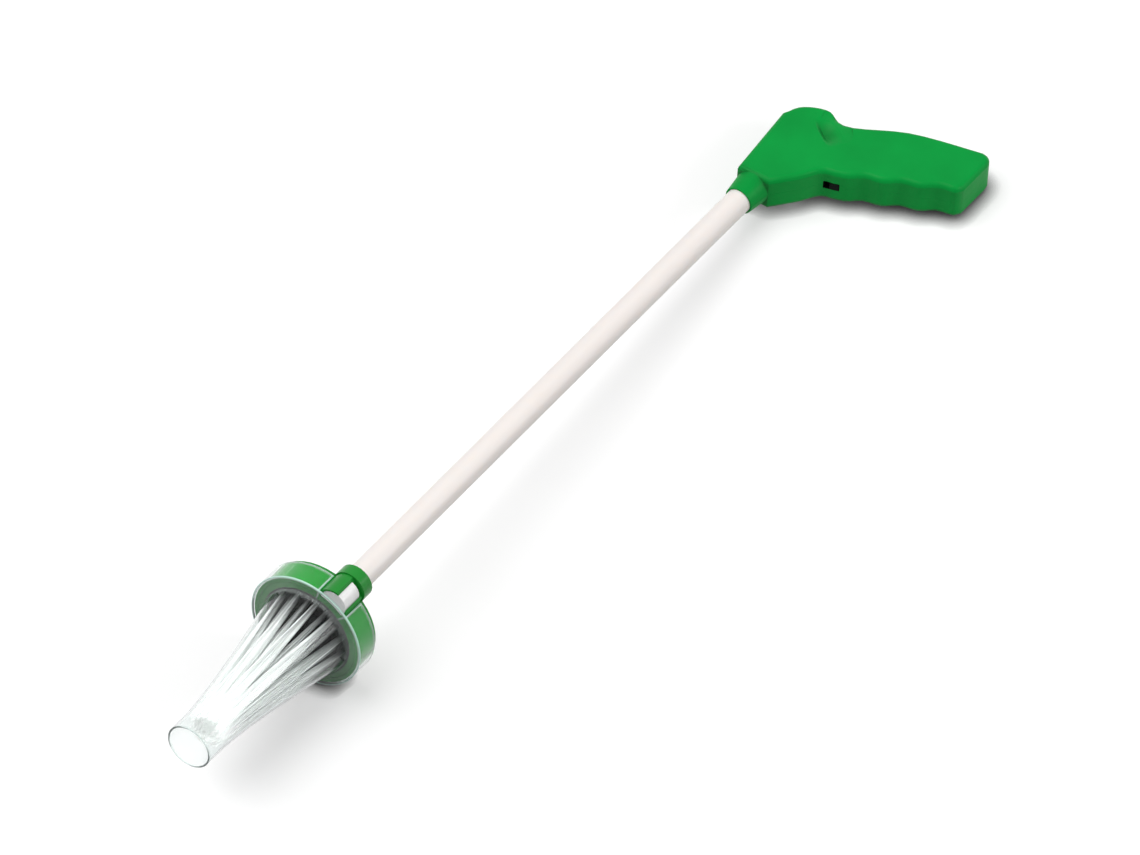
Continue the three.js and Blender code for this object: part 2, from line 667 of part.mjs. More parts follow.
// The drum with the boss that takes the tube on its rim, in the head's own frame: X along the
// drum's axis and Z from that axis to the tube's
function makeDrum() {
  const onTube = { z: headOffset };
  const drum = bar(drumR, drumBack, drumFront, { sides: FINE_SIDES });
  const boss = bar(bossR, drumBack, drumFront, onTube);
  const capR = tubeR + SEAT_GAP + CAP_WALL;
  const cap = bar(capR, TUBE_FREE, drumBack + TUBE_STOP, onTube);
  const hollow = bar(drumBoreR, floorFace, drumFront + OVERSHOOT, { sides: FINE_SIDES });
  const bossBore = bar(bossBoreR, floorFace, drumFront + OVERSHOOT, onTube);
  const tubeBore = bar(tubeR + SEAT_GAP, TUBE_FREE - OVERSHOOT, tubeFront + SEAT_GAP, onTube);
  const passage = bar(tubeBoreR, tubeFront, floorFace + OVERSHOOT, onTube);
  const sector = new THREE.Shape();
  const toShape = (degrees) => THREE.MathUtils.degToRad(90 - degrees);
  sector.moveTo(0, headOffset);
  sector.absarc(0, headOffset, bossR + OVERSHOOT, toShape(WINDOW_TO), toShape(WINDOW_FROM), false);
  const window = drawnAlongX(sector, drumBack + TUBE_STOP, drumFront + OVERSHOOT, WINDOW_STEPS);
  const pinHoles = guidePinPlaces().map((place) =>
    bar(pinR + SEAT_GAP, drumBack - OVERSHOOT, floorFace + OVERSHOOT, { ...place, sides: SMALL_SIDES }));
  const screwHole = bar(SCREW_D / 2 + SEAT_GAP, drumBack - OVERSHOOT, floorFace + OVERSHOOT,
    { sides: SMALL_SIDES });
  const holes = [tubeBore, passage, window, ...pinHoles, screwHole];
  const shell = cut(joined(drum, boss, cap), hollow, bossBore, ...holes);
  return piece('head_drum', shell, HEAD_GREEN);
}

// Where the carrier's guide pins stand, on each side of the drum's axis
function guidePinPlaces() {
  return [-1, 1].map((side) => ({ y: side * GUIDE_PIN_CIRCLE / 2, z: 0 }));
}

// The ring pressed into the drum's mouth, slotted where the carrier's arm passes
function makeFrontRing() {
  const back = drumFront - RING_DEPTH;
  const slot = block(back - OVERSHOOT, rodFront + RUN_GAP, -eyeChannelR, eyeChannelR, 0, drumR);
  return piece('front_ring', ring(mouthR, ringR, back, drumFront, FINE_SIDES).subtract(slot), HEAD_GREEN);
}

// The white bearing in the boss, with the channel that the eye of the carrier's arm slides in
function makeSlideBearing() {
  const back = floorFace + SEAT_GAP;
  const front = drumFront - SEAT_GAP;
  const nose = front - BEARING_NOSE;
  const round = bar(bossBoreR - SEAT_GAP, back, front, { z: headOffset });
  const inDrum = bar(drumBoreR + SEAT_GAP, back - OVERSHOOT, front + OVERSHOOT, { sides: FINE_SIDES });
  const eyeWay = bar(eyeChannelR, back - OVERSHOOT, nose, { z: headOffset });
  const armWay = block(back - OVERSHOOT, nose, -eyeChannelR, eyeChannelR, 0, headOffset);
  return piece('slide_bearing', cut(round, inDrum, eyeWay, armWay), WHITE);
}

// The carrier: a disc with a groove for the bristles' backing, and an arm with an eye on the rod
function makeCarrier() {
  const disc = bar(carrierR, carrierBack, carrierFront, { sides: FINE_SIDES });
  const [outer, inner] = backingRadii();
  const groove = ring(inner - SEAT_GAP, outer + SEAT_GAP, carrierFront - CARRIER_GROOVE,
    carrierFront + OVERSHOOT, FINE_SIDES);
  const arm = block(carrierBack, eyeFront, -ARM_WIDTH / 2, ARM_WIDTH / 2, carrierR - DRUM_WALL, headOffset);
  const eye = bar(EYE_D / 2, eyeBack, eyeFront, { z: headOffset });
  const rodHole = bar(rodHoleR, eyeBack - OVERSHOOT, eyeFront + OVERSHOOT,
    { z: headOffset, sides: SMALL_SIDES });
  const postHole = bar(postR + RUN_GAP, carrierBack - OVERSHOOT, carrierFront + OVERSHOOT);
  const pinHoles = guidePinPlaces().map((place) =>
    bar(pinHoleR, carrierBack - OVERSHOOT, carrierFront + OVERSHOOT, { ...place, sides: SMALL_SIDES }));
  const carrier = cut(joined(disc.subtract(groove), arm, eye), rodHole, postHole, ...pinHoles);
  return piece('bristle_carrier', carrier, BLACK);
}

// The nuts that clamp the eye on the rod's threaded end
function makeRodNuts() {
  const hexSides = 6;
  const nut = (name, x) => {
    const hex = bar(NUT_D / 2, x, x + NUT, { z: headOffset, sides: hexSides });
    const hole = bar(rodHoleR, x - OVERSHOOT, x + NUT + OVERSHOOT, { z: headOffset, sides: SMALL_SIDES });
    return piece(name, hex.subtract(hole), STEEL);
  };
  return [
    nut('rod_nut_rear', eyeBack - SEAT_GAP - NUT),
    nut('rod_nut_front', eyeFront + SEAT_GAP),
  ];
}

// The dome that spreads the tufts, on its post, with its screw and the carrier's guide pins
function makeSpreader() {
  const edge = domeBack + DOME_EDGE;
  const crown = [];
  for (let i = 0; i <= DOME_STEPS; i += 1) {
    const angle = (Math.PI / 2) * (i / DOME_STEPS);
    crown.push([edge + (DOME_HEIGHT - DOME_EDGE) * Math.sin(angle), domeR * Math.cos(angle)]);
  }
  const postBack = floorFace + SEAT_GAP;
  const stem = [[postBack, 0], [postBack, postR], [domeBack, postR], [domeBack, domeR]];
  const dome = turned([...stem, ...crown], FINE_SIDES);
  const screwEnd = drumBack + DOME_SCREW_LENGTH;
  const pilot = bar(SCREW_D / 2 + SEAT_GAP, postBack - OVERSHOOT, screwEnd + SEAT_GAP,
    { sides: SMALL_SIDES });
  const headBack = drumBack - SEAT_GAP - SCREW_HEAD_HEIGHT;
  const head = bar(SCREW_HEAD_D / 2, headBack, drumBack - SEAT_GAP, { sides: SMALL_SIDES });
  const shank = bar(SCREW_D / 2, headBack, screwEnd, { sides: SMALL_SIDES });
  const pins = guidePinPlaces().map((place, i) => piece(`guide_pin_${i + 1}`,
    bar(pinR, drumBack + SEAT_GAP, domeBack - SEAT_GAP, { ...place, sides: SMALL_SIDES }), STEEL));
  return [
    piece('spreader_dome', dome.subtract(pilot), BLACK),
    piece('spreader_screw', head.add(shank), STEEL),
    ...pins,
  ];
}

// The outer and inner radius of the bristles' backing
function backingRadii() {
  return [brushR + BACKING_EDGE, brushR - BRUSH_DEPTH[0] - BACKING_EDGE];
}

// The cover's outer radius at a distance in front of its flange
function bellRadius(distance) {
  const left = Math.max(0, 1 - distance / BELL_LENGTH);
  return bellTipR + (bellRootR - bellTipR) * left ** BELL_POWER;
}

// One strand of a tuft, from its root in the backing over its waist to its tip
function strand(tuft, row, column) {
  const stations = [0, BRISTLE_WAIST, BRISTLE_LENGTH];
  const rings = stations.map((along, i) => {
    const inCover = bellRadius(carrierFront + along - flangeBack) - COVER_WALL - BRISTLE_GAP;
    const outer = i === 0 ? brushR : inCover;
    const r = outer - BRUSH_DEPTH[i] * (row / (TUFT_ROWS - 1));
    const degrees = tuft + TUFT_SPREAD[i] * (column / (TUFT_COLUMNS - 1) - 0.5);
    const x = carrierFront + (i === 0 ? -STRAND_ROOT : along);
    const centre = polar(x, r, degrees);
    const section = [];
    for (let side = 0; side < STRAND_SIDES; side += 1) {
      section.push(polar(0, STRAND_D[i] / 2, (360 * side) / STRAND_SIDES).add(centre));
    }
    return section;
  });
  return solid(loft(rings));
}

// A quarter of the brush: tufts of strands standing in a slice of backing
function brushQuarter() {
  const [outer, inner] = backingRadii();
  const front = carrierFront;
  const corners = [[front - BACKING, inner], [front - BACKING, outer], [front, outer], [front, inner]];
  const span = 360 / QUARTERS;
  const sections = [];
  for (let i = 0; i <= BACKING_STEPS; i += 1) {
    const degrees = (span - BACKING_ARC) / 2 + (BACKING_ARC * i) / BACKING_STEPS;
    sections.push(corners.map(([x, r]) => polar(x, r, degrees)));
  }
  let quarter = solid(loft(sections));
  for (let t = 0; t < TUFTS_PER_QUARTER; t += 1) {
    const tuft = (span * (t + 0.5)) / TUFTS_PER_QUARTER;
    for (let row = 0; row < TUFT_ROWS; row += 1) {
      for (let column = 0; column < TUFT_COLUMNS; column += 1) {
        quarter = quarter.add(strand(tuft, row, column));
      }
    }
  }
  return quarter;
}

// The four quarters of the brush
function makeBristles() {
  const quarter = brushQuarter();
  const quarters = [];
  for (let i = 0; i < QUARTERS; i += 1) {
    const mesh = piece(`bristles_${i + 1}`, quarter, NYLON);
    mesh.rotation.x = -(2 * Math.PI * i) / QUARTERS;
    quarters.push(mesh);
  }
  return quarters;
}

// The clear cover: collar round the drum, flange, trumpet bell and straight open tip
function makeCover() {
  const outside = [];
  for (let i = 0; i <= BELL_STEPS; i += 1) {
    const along = COVER_WALL + ((BELL_LENGTH - COVER_WALL) * i) / BELL_STEPS;
    outside.push([flangeBack + along, bellRadius(along)]);
  }
  const tip = flangeBack + BELL_LENGTH + TIP_LENGTH;
  outside.push([tip, bellRadius(BELL_LENGTH)]);
  const inside = outside.map(([x, r]) => [x, r - COVER_WALL]).reverse();
  const collarBack = flangeBack - COLLAR_LENGTH;
  const profile = [
    [collarBack, collarR + COVER_WALL],
    [flangeBack, collarR + COVER_WALL],
    [flangeBack, flangeR],
    [flangeBack + COVER_WALL, flangeR],
    ...outside,
    ...inside,
    [flangeBack, bellRadius(0) - COVER_WALL],
    [flangeBack, collarR],
    [collarBack, collarR],
  ];
  const bossWay = bar(bossR + BOSS_SLOT_GAP, collarBack - OVERSHOOT, flangeBack, { z: headOffset });
  return piece('storage_cover', turned(profile, FINE_SIDES).subtract(bossWay), CLEAR);
}

// The head, turned about the tube so that the drum hangs to one side below it
function makeHead() {
  const head = new THREE.Group();
  const roll = THREE.MathUtils.degToRad(HEAD_ROLL);
  head.rotation.x = -roll;
  head.position.set(0, -headOffset * Math.sin(roll), -headOffset * Math.cos(roll));
  head.add(makeDrum(), makeFrontRing(), makeSlideBearing(), makeCarrier(), ...makeRodNuts());
  head.add(...makeSpreader(), ...makeBristles(), makeCover());
  return head;
}

// Every corner of a mesh, in the frame that holds the tool
function cornersOf(mesh) {
  const places = mesh.geometry.getAttribute('position');
  const corners = [];
  for (let i = 0; i < places.count; i += 1) {
    corners.push(new THREE.Vector3().fromBufferAttribute(places, i).applyMatrix4(mesh.matrixWorld));
  }
  return corners;
}

const lowest = (points, up) => points.reduce((low, next) => (next.dot(up) < low.dot(up) ? next : low));

// The direction that is up when the tool lies on its hump, its heel and the cover's flange
function restingUp(handle, cover) {
  const up = new THREE.Vector3(0, 0, 1);
  const hump = handle.filter((point) => point.y < REST_SPLIT);
  const heel = handle.filter((point) => point.y >= REST_SPLIT);
  for (let step = 0; step < REST_STEPS; step += 1) {
    const feet = [hump, heel, cover].map((points) => lowest(points, up));
    up.crossVectors(feet[1].clone().sub(feet[0]), feet[2].clone().sub(feet[0])).normalize();
    up.multiplyScalar(Math.sign(up.z));
  }
  return up;
}

// The tool laid down, with the origin under the middle of its box and X along the tube's shadow
function layDown(tool) {
  tool.updateMatrixWorld(true);
  const handle = cornersOf(tool.getObjectByName('handle_half_lower'));
  const cover = cornersOf(tool.getObjectByName('storage_cover'));
  const up = restingUp(handle, cover);
  const along = new THREE.Vector3(1, 0, 0).projectOnPlane(up).normalize();
  const across = new THREE.Vector3().crossVectors(up, along);
  tool.applyMatrix4(new THREE.Matrix4().makeBasis(along, across, up).transpose());
  tool.updateMatrixWorld(true);
  const box = new THREE.Box3().setFromObject(tool, true);
  const middle = box.getCenter(new THREE.Vector3());
  tool.position.set(-middle.x, -middle.y, -box.min.z);
}

const tool = new THREE.Group();
tool.add(...makeHandleHalves(), ...makeHousingScrews(), ...makeTrigger(), ...makeClevis());
tool.add(...makeReturnSpring(), ...makeTubeAndRod(), makeHead());
layDown(tool);

const spiderCatcher = new THREE.Group();
spiderCatcher.add(tool);

export default spiderCatcher;
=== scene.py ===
"""A hand-held spider catcher: the finished look of its moulded, extruded and bristled pieces.

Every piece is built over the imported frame, in the frame's own place. Sizes are written in
millimetres, along the tool's own axes: X runs along the tube to the head, Y down the grip and
Z out of the handle's upper side. The head's axes have the same X, through the middle of its drum.
"""

from __future__ import annotations

import json
import logging
import math
from collections.abc import Callable, Iterable, Mapping, Sequence
from dataclasses import dataclass, field
from enum import Enum
from typing import ClassVar

import bmesh
import bpy
from mathutils import Matrix, Vector


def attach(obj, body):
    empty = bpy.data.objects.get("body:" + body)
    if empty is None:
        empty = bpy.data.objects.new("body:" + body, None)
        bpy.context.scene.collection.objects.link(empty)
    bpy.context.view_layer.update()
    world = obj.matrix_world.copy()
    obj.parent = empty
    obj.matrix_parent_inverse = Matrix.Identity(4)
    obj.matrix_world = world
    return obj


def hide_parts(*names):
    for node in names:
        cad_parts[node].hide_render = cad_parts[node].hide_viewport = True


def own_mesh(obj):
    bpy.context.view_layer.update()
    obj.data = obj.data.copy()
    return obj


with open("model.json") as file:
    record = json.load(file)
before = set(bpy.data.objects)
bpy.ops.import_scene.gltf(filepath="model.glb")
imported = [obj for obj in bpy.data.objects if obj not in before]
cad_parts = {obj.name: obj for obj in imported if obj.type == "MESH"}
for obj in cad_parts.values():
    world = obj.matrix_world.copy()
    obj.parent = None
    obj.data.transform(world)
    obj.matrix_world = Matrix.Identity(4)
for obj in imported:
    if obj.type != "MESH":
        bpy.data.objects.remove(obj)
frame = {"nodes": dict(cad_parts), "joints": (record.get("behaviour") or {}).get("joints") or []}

LOG = logging.getLogger("spider_catcher")
# Metres in a millimetre
MM = 0.001
# In millimetres: how near points of a CAD mesh are one point, and how wide a cut's slivers are
DOUBLE = 0.002
SLIVER = 0.004
# In degrees: how flat an edge is that only divides a flat face
FLAT = 0.3
# Rays that look for close surfaces, for the painted shade
SHADE_RAYS = 8
WHITE = (1.0, 1.0, 1.0, 1.0)
BLACK = (0.0, 0.0, 0.0, 1.0)


class Body(Enum):
    """The bodies of the frame that pieces ride on."""

    HANDLE = "handle"
    TRIGGER = "trigger"
    ROD = "pull_rod"
    COVER = "cover"


class Slot(Enum):
    """The record's material slots."""

    HANDLE_GREEN = "handle_green"
    HEAD_GREEN = "head_green"
    TUBE_WHITE = "tube_white"
    BLACK = "black"
    WHITE = "white"
    STEEL = "steel"
    NYLON = "nylon"
    CLEAR = "clear"


class Row(Enum):
    """The rows that the tufts stand in."""

    OUTER = "outer"
    INNER = "inner"


@dataclass(frozen=True)
class Axes:
    """Millimetre axes placed in the frame.

    Attributes:
        matrix: Takes a point in millimetres on these axes to metres in the frame.
    """

    matrix: Matrix

    @classmethod
    def of_tool(cls, joints: Iterable[Mapping], pivot: tuple[float, float]) -> Axes:
        """Finds the tool's axes from the frame's joints.

        Args:
            joints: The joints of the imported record.
            pivot: The trigger's pivot on the tool's X and Y, in millimetres.

        Returns:
            The tool's axes.
        """
        by_name = {joint["name"]: joint for joint in joints}
        x = -Vector(by_name["rod_slide"]["axis"]).normalized()
        z = -Vector(by_name["trigger_turn"]["axis"]).normalized()
        y = z.cross(x)
        origin = Vector(by_name["trigger_turn"]["pos_m"]) - MM * (pivot[0] * x + pivot[1] * y)
        turn = Matrix((x, y, z)).transposed().to_4x4()
        return cls(Matrix.Translation(origin) @ turn @ Matrix.Scale(MM, 4))

    def head(self, roll: float, offset: float) -> Axes:
        """Gives the head's axes, beside the tube and rolled about it.

        Args:
            roll: The angle from the tool's Z to the head's, in degrees, towards Y.
            offset: How far the tube lies out on the head's Z, in millimetres.

        Returns:
            The head's axes.
        """
        turn = Matrix.Rotation(math.radians(-roll), 4, "X")
        return Axes(self.matrix @ turn @ Matrix.Translation((0.0, 0.0, -offset)))

    def direction(self, x: float, y: float, z: float) -> Vector:
        """Gives a direction on these axes as a unit vector in the frame."""
        return (self.matrix.to_3x3() @ Vector((x, y, z))).normalized()

    def point(self, x: float, y: float, z: float) -> Vector:
        """Gives a point on these axes, in millimetres, as a point in the frame."""
        return self.matrix @ Vector((x, y, z))


@dataclass(frozen=True)
class HandleSizes:
    """The handle's screws, scoop and trigger slot, on the tool's axes.

    Attributes:
        pivot: The trigger's pivot in X and Y.
        screws: The middles of the screws in X and Y.
        screw_bottom: Where the outer faces of the screws' heads lie on Z.
        screw_sides: The sides of a screw's head and of its shank.
        recess_deeper: How much deeper the second bar of the cross recess is than the first, so that
            their floors don't coincide.
        spring_anchor: The spring's fixed end on X.
        spring_keep: The share of its length that the spring keeps at full stroke; not used.
        spring_crease: The angle in degrees from which an edge of the spring stays sharp.
        scoop: The middle of the thumb scoop in X and Y.
        scoop_half: The half length, half width and depth of the frame's plain scoop.
        scoop_turn: The angle from X to the scoop's length, in degrees.
        scoop_slack: How far from the scoop's form a point on it may lie, as a share.
        scoop_rounds: How many times the scoop's points are levelled with those round them.
        half_thick: From the mid-plane to the handle's flat side.
        crease: The middle of the crease, along and across the scoop from its middle.
        crease_half: Half the crease's length.
        crease_wall: How wide the crease's steep side is.
        crease_floor: How wide the side is that runs out on the grip.
        crease_depth: How deep the crease is where the two meet.
        crease_steps: The steps along and across the crease.
        crease_crowd: How much the steps across crowd at the steep side.
        crease_lift: How far above the handle's face the crease runs out.
        crease_roof: How far above that face the body that cuts it is closed.
        parting: Half the gap between the halves.
        parting_reach: How near the mid-plane the frame's points on that gap lie.
        pad_front: A point on the pad's front in X and Y, and the front's slope.
        pad_edge: The width of the trigger's broken edges.
        shade_plate: The reach on X, Y and Z of the black plate behind the trigger slot, which also stands
        in for the shade in the hollow there.
        slot: The trigger slot's reach on X, Y and Z.
        shade_liner_wall: How thick the black liner is that paints the slot's walls dark as shade.
    """

    pivot: tuple[float, float] = (-72.0, 64.0)
    screws: tuple[tuple[float, float], ...] = (
        (-36.0, 14.0),
        (-78.0, 0.0),
        (-84.0, 50.0),
        (-93.0, 90.0),
    )
    screw_bottom: float = -7.95
    screw_head_radius: float = 2.8
    screw_head_height: float = 2.2
    screw_shank_radius: float = 1.5
    screw_length: float = 12.0
    screw_sides: tuple[int, int] = (48, 32)
    recess_length: float = 3.0
    recess_width: float = 0.7
    recess_depth: float = 1.2
    recess_deeper: float = 1.05
    spring_anchor: float = -42.4
    spring_keep: float = 0.43
    spring_crease: float = 60.0
    scoop: tuple[float, float] = (-77.0, 17.5)
    scoop_half: tuple[float, float, float] = (15.0, 8.5, 2.2)
    scoop_turn: float = 54.0
    scoop_slack: float = 0.05
    scoop_rounds: int = 400
    half_thick: float = 12.25
    crease: tuple[float, float] = (2.0, 12.4)
    crease_half: float = 14.0
    crease_wall: float = 4.0
    crease_floor: float = 13.0
    crease_depth: float = 3.6
    crease_steps: tuple[int, int] = (48, 60)
    crease_crowd: float = 1.6
    crease_lift: float = 0.04
    crease_roof: float = 1.0
    parting: float = 0.03
    parting_reach: float = 0.3
    pad_front: tuple[float, float, float] = (-44.3, 38.3, -0.343)
    pad_edge: float = 0.25
    shade_plate: tuple[tuple[float, float], ...] = ((-48.2, -46.9), (30.6, 36.4), (-2.5, 2.5))
    slot: tuple[tuple[float, float], ...] = ((-46.6, -44.6), (31.82, 41.33), (-2.79, 2.79))
    shade_liner_wall: float = 0.12


@dataclass(frozen=True)
class TubeSizes:
    """The extruded tube, on the tool's axes.

    Attributes:
        back: The end in the handle on X.
        front: The end in the head on X.
        edge: The width of its broken edges.
        sides: The steps round it.
    """

    back: float = -24.0
    front: float = 402.5
    radius: float = 8.0
    wall: float = 1.5
    edge: float = 0.3
    sides: int = 128


@dataclass(frozen=True)
class HeadSizes:
    """Where the head sits beside the tube.

    Attributes:
        roll: The angle from the tool's Z to the head's, in degrees, towards Y.
        offset: How far the tube lies out on the head's Z.
    """

    roll: float = 27.0
    offset: float = 36.5


@dataclass(frozen=True)
class CoverSizes:
    """The clear storage cover: a collar round the drum, a flange and a trumpet cone.

    Attributes:
        bell_power: How quickly the cone narrows from its root.
        slot_half_angle: Half the opening in the collar, in degrees.
        rim: How far in from the flange's edge its bright rim, a painted highlight, reaches.
        plate_highlight: The painted highlight of the flange's plate.
        tip_highlight: The painted highlight of the cone's open end.
        collar_highlight: The painted highlight of the collar's back edge.
        edge: The width of its broken edges.
        edge_angle: The least angle of an edge that is broken, in degrees.
        sides: The steps round it.
        rings: The steps along the cone.
    """

    collar_back: float = 406.3
    flange_back: float = 421.3
    collar_radius: float = 37.5
    flange_radius: float = 38.7
    wall: float = 1.1
    root_radius: float = 30.0
    tip_radius: float = 14.8
    bell_length: float = 108.0
    bell_power: float = 1.45
    tip_length: float = 12.5
    slot_half_angle: float = 16.8
    rim: float = 1.8
    plate_highlight: float = 0.13
    tip_highlight: float = 0.35
    collar_highlight: float = 0.3
    edge: float = 0.3
    edge_angle: float = 50.0
    sides: int = 180
    rings: int = 40

    def radius_at(self, along: float) -> float:
        """Gives the outer radius of the cone.

        Args:
            along: The distance from the flange's back, in millimetres.

        Returns:
            The radius in millimetres.
        """
        left = max(0.0, 1.0 - along / self.bell_length)
        return self.tip_radius + (self.root_radius - self.tip_radius) * left**self.bell_power


@dataclass(frozen=True)
class BrushSizes:
    """The ring of tufts, in four quarters with two staggered rows each.

    Attributes:
        front: The carrier's front along X.
        outer_row: For each station along an outer tuft its distance from the carrier's front,
            the tuft's outer radius, its depth and the angle that it spreads over.
        inner_row: The same for an inner tuft.
        tufts: For each tuft of a quarter its angle and its row.
        strands: How many strands a tuft has.
        locks: How many locks of one tone lie across a tuft.
        wander: How far a strand's tip may sway.
        waves: The waves of that sway in a millimetre.
        apart: How far apart in the pattern of waves two strands may lie.
        uneven: The greatest share of a strand's length that is cut off its tip.
        points: The points along a strand.
        sides: The sides of a strand.
        crease: The angle in degrees from which an edge of a strand stays sharp.
        backing: The back, front, inner and outer radius of the strip that the tufts stand in.
        backing_arc: The angle that a strip reaches round, in degrees.
        backing_steps: The steps along a strip.
    """

    front: float = 418.0
    quarters: int = 4
    outer_row: tuple[tuple[float, float, float, float], ...] = (
        (-1.0, 26.3, 2.2, 4.5),
        (14.0, 24.2, 2.8, 6.6),
        (46.0, 19.5, 4.4, 17.0),
        (78.0, 15.4, 5.0, 30.0),
        (107.0, 12.2, 5.0, 36.0),
    )
    inner_row: tuple[tuple[float, float, float, float], ...] = (
        (-1.0, 23.4, 1.6, 4.0),
        (14.0, 21.0, 2.2, 7.0),
        (46.0, 15.8, 3.8, 18.0),
        (78.0, 11.2, 5.4, 36.0),
        (105.0, 7.6, 7.0, 60.0),
    )
    tufts: tuple[tuple[float, Row], ...] = (
        (15.0, Row.OUTER),
        (45.0, Row.OUTER),
        (75.0, Row.OUTER),
        (3.0, Row.INNER),
        (30.0, Row.INNER),
        (60.0, Row.INNER),
    )
    strands: int = 130
    locks: int = 7
    root_radius: float = 0.45
    tip_radius: float = 0.3
    wander: float = 2.4
    waves: float = 0.035
    apart: float = 400.0
    uneven: float = 0.12
    seed: int = 24
    points: int = 10
    sides: int = 4
    crease: float = 70.0
    backing: tuple[float, float, float, float] = (416.5, 418.0, 20.8, 27.7)
    backing_arc: float = 86.0
    backing_steps: int = 30


@dataclass(frozen=True)
class CameraSizes:
    """A long lens: the tool's axes in the picture, and the picture's scale.

    Attributes:
        right: The picture's right on the tool's axes.
        toward: The way to the camera on the tool's axes.
        origin: The picture's pixel that the tool's origin falls on.
        picture: The picture's width and height in pixels.
        scale: Pixels in a millimetre at the middle of the tool.
        middle: A tool point at the middle of the depth, along X.
        distance: The distance from the middle to the camera.
        sensor: The sensor's width.
    """

    right: tuple[float, float, float] = (-0.566, 0.8215, 0.0586)
    toward: tuple[float, float, float] = (0.6, 0.364, 0.712)
    origin: tuple[float, float] = (739.9, 199.0)
    picture: tuple[float, float] = (1140.0, 855.0)
    scale: float = 1.70
    middle: float = 260.0
    distance: float = 20000.0
    sensor: float = 36.0


def linear(hex_colour: str) -> tuple[float, float, float, float]:
    """Turns an sRGB colour into the linear values that a shader takes.

    Args:
        hex_colour: The colour as #RRGGBB.

    Returns:
        Linear red, green, blue and an alpha of 1.
    """
    parts = [int(hex_colour[i : i + 2], 16) / 255 for i in (1, 3, 5)]
    red, green, blue = (p / 12.92 if p <= 0.04045 else ((p + 0.055) / 1.055) ** 2.4 for p in parts)
    return (red, green, blue, 1.0)


def add_node(
    tree: bpy.types.NodeTree,
    kind: str,
    inputs: Mapping[str | int, object] | None = None,
    settings: Mapping[str, object] | None = None,
) -> bpy.types.Node:
    """Adds one node with its settings, and fills or links its inputs.

    Args:
        tree: The shader or geometry tree.
        kind: The node's type.
        inputs: For an input's name or number, the socket or sockets to link or the value to set.
        settings: The node's own properties.

    Returns:
        The new node.
    """
    node = tree.nodes.new(kind)
    for name, value in (settings or {}).items():
        setattr(node, name, value)
    for key, value in (inputs or {}).items():
        sockets = value if isinstance(value, list) else [value]
        if isinstance(sockets[0], bpy.types.NodeSocket):
            for socket in sockets:
                tree.links.new(socket, node.inputs[key])
        else:
            node.inputs[key].default_value = value
    return node


def seen_rays(tree: bpy.types.NodeTree) -> bpy.types.NodeSocket:
    """Adds the nodes that tell the rays that are seen, also in gloss and through clear pieces.

    Args:
        tree: The material's or the world's tree.

    Returns:
        A socket that is 1 for those rays and 0 for the rest.
    """
    ray = add_node(tree, "ShaderNodeLightPath").outputs
    seen = ray["Is Camera Ray"]
    for kind in ("Is Glossy Ray", "Is Transmission Ray"):
        either = add_node(tree, "ShaderNodeMath", {0: seen, 1: ray[kind]}, {"operation": "MAXIMUM"})
        seen = either.outputs[0]
    # Rays that a matt surface has thrown back carry light and aren't seen
    direct = add_node(
        tree, "ShaderNodeMath", {0: ray["Diffuse Depth"], 1: 0.5}, {"operation": "LESS_THAN"}
    )
    both = add_node(tree, "ShaderNodeMath", {0: seen, 1: direct.outputs[0]}, {"operation": "MULTIPLY"})
    return both.outputs[0]


def painted_near_shade(tree: bpy.types.NodeTree, distance: float, power: float, own: bool) -> bpy.types.NodeSocket:
    """Adds the nodes for a painted shade: colour is darkened where close surfaces would shade each other.

    Args:
        tree: The material's tree.
        distance: How near a surface has to be, in millimetres.
        power: How steeply the shade deepens.
        own: Whether only the piece's own surfaces count.

    Returns:
        A socket that is 1 in the open and falls to 0 in the painted shade.
    """
    painted_shade = add_node(
        tree,
        "ShaderNodeAmbientOcclusion",
        {"Distance": distance * MM},
        {"samples": SHADE_RAYS, "only_local": own},
    )
    deep = add_node(tree, "ShaderNodeMath", {0: painted_shade.outputs["AO"], 1: power}, {"operation": "POWER"})
    return deep.outputs[0]


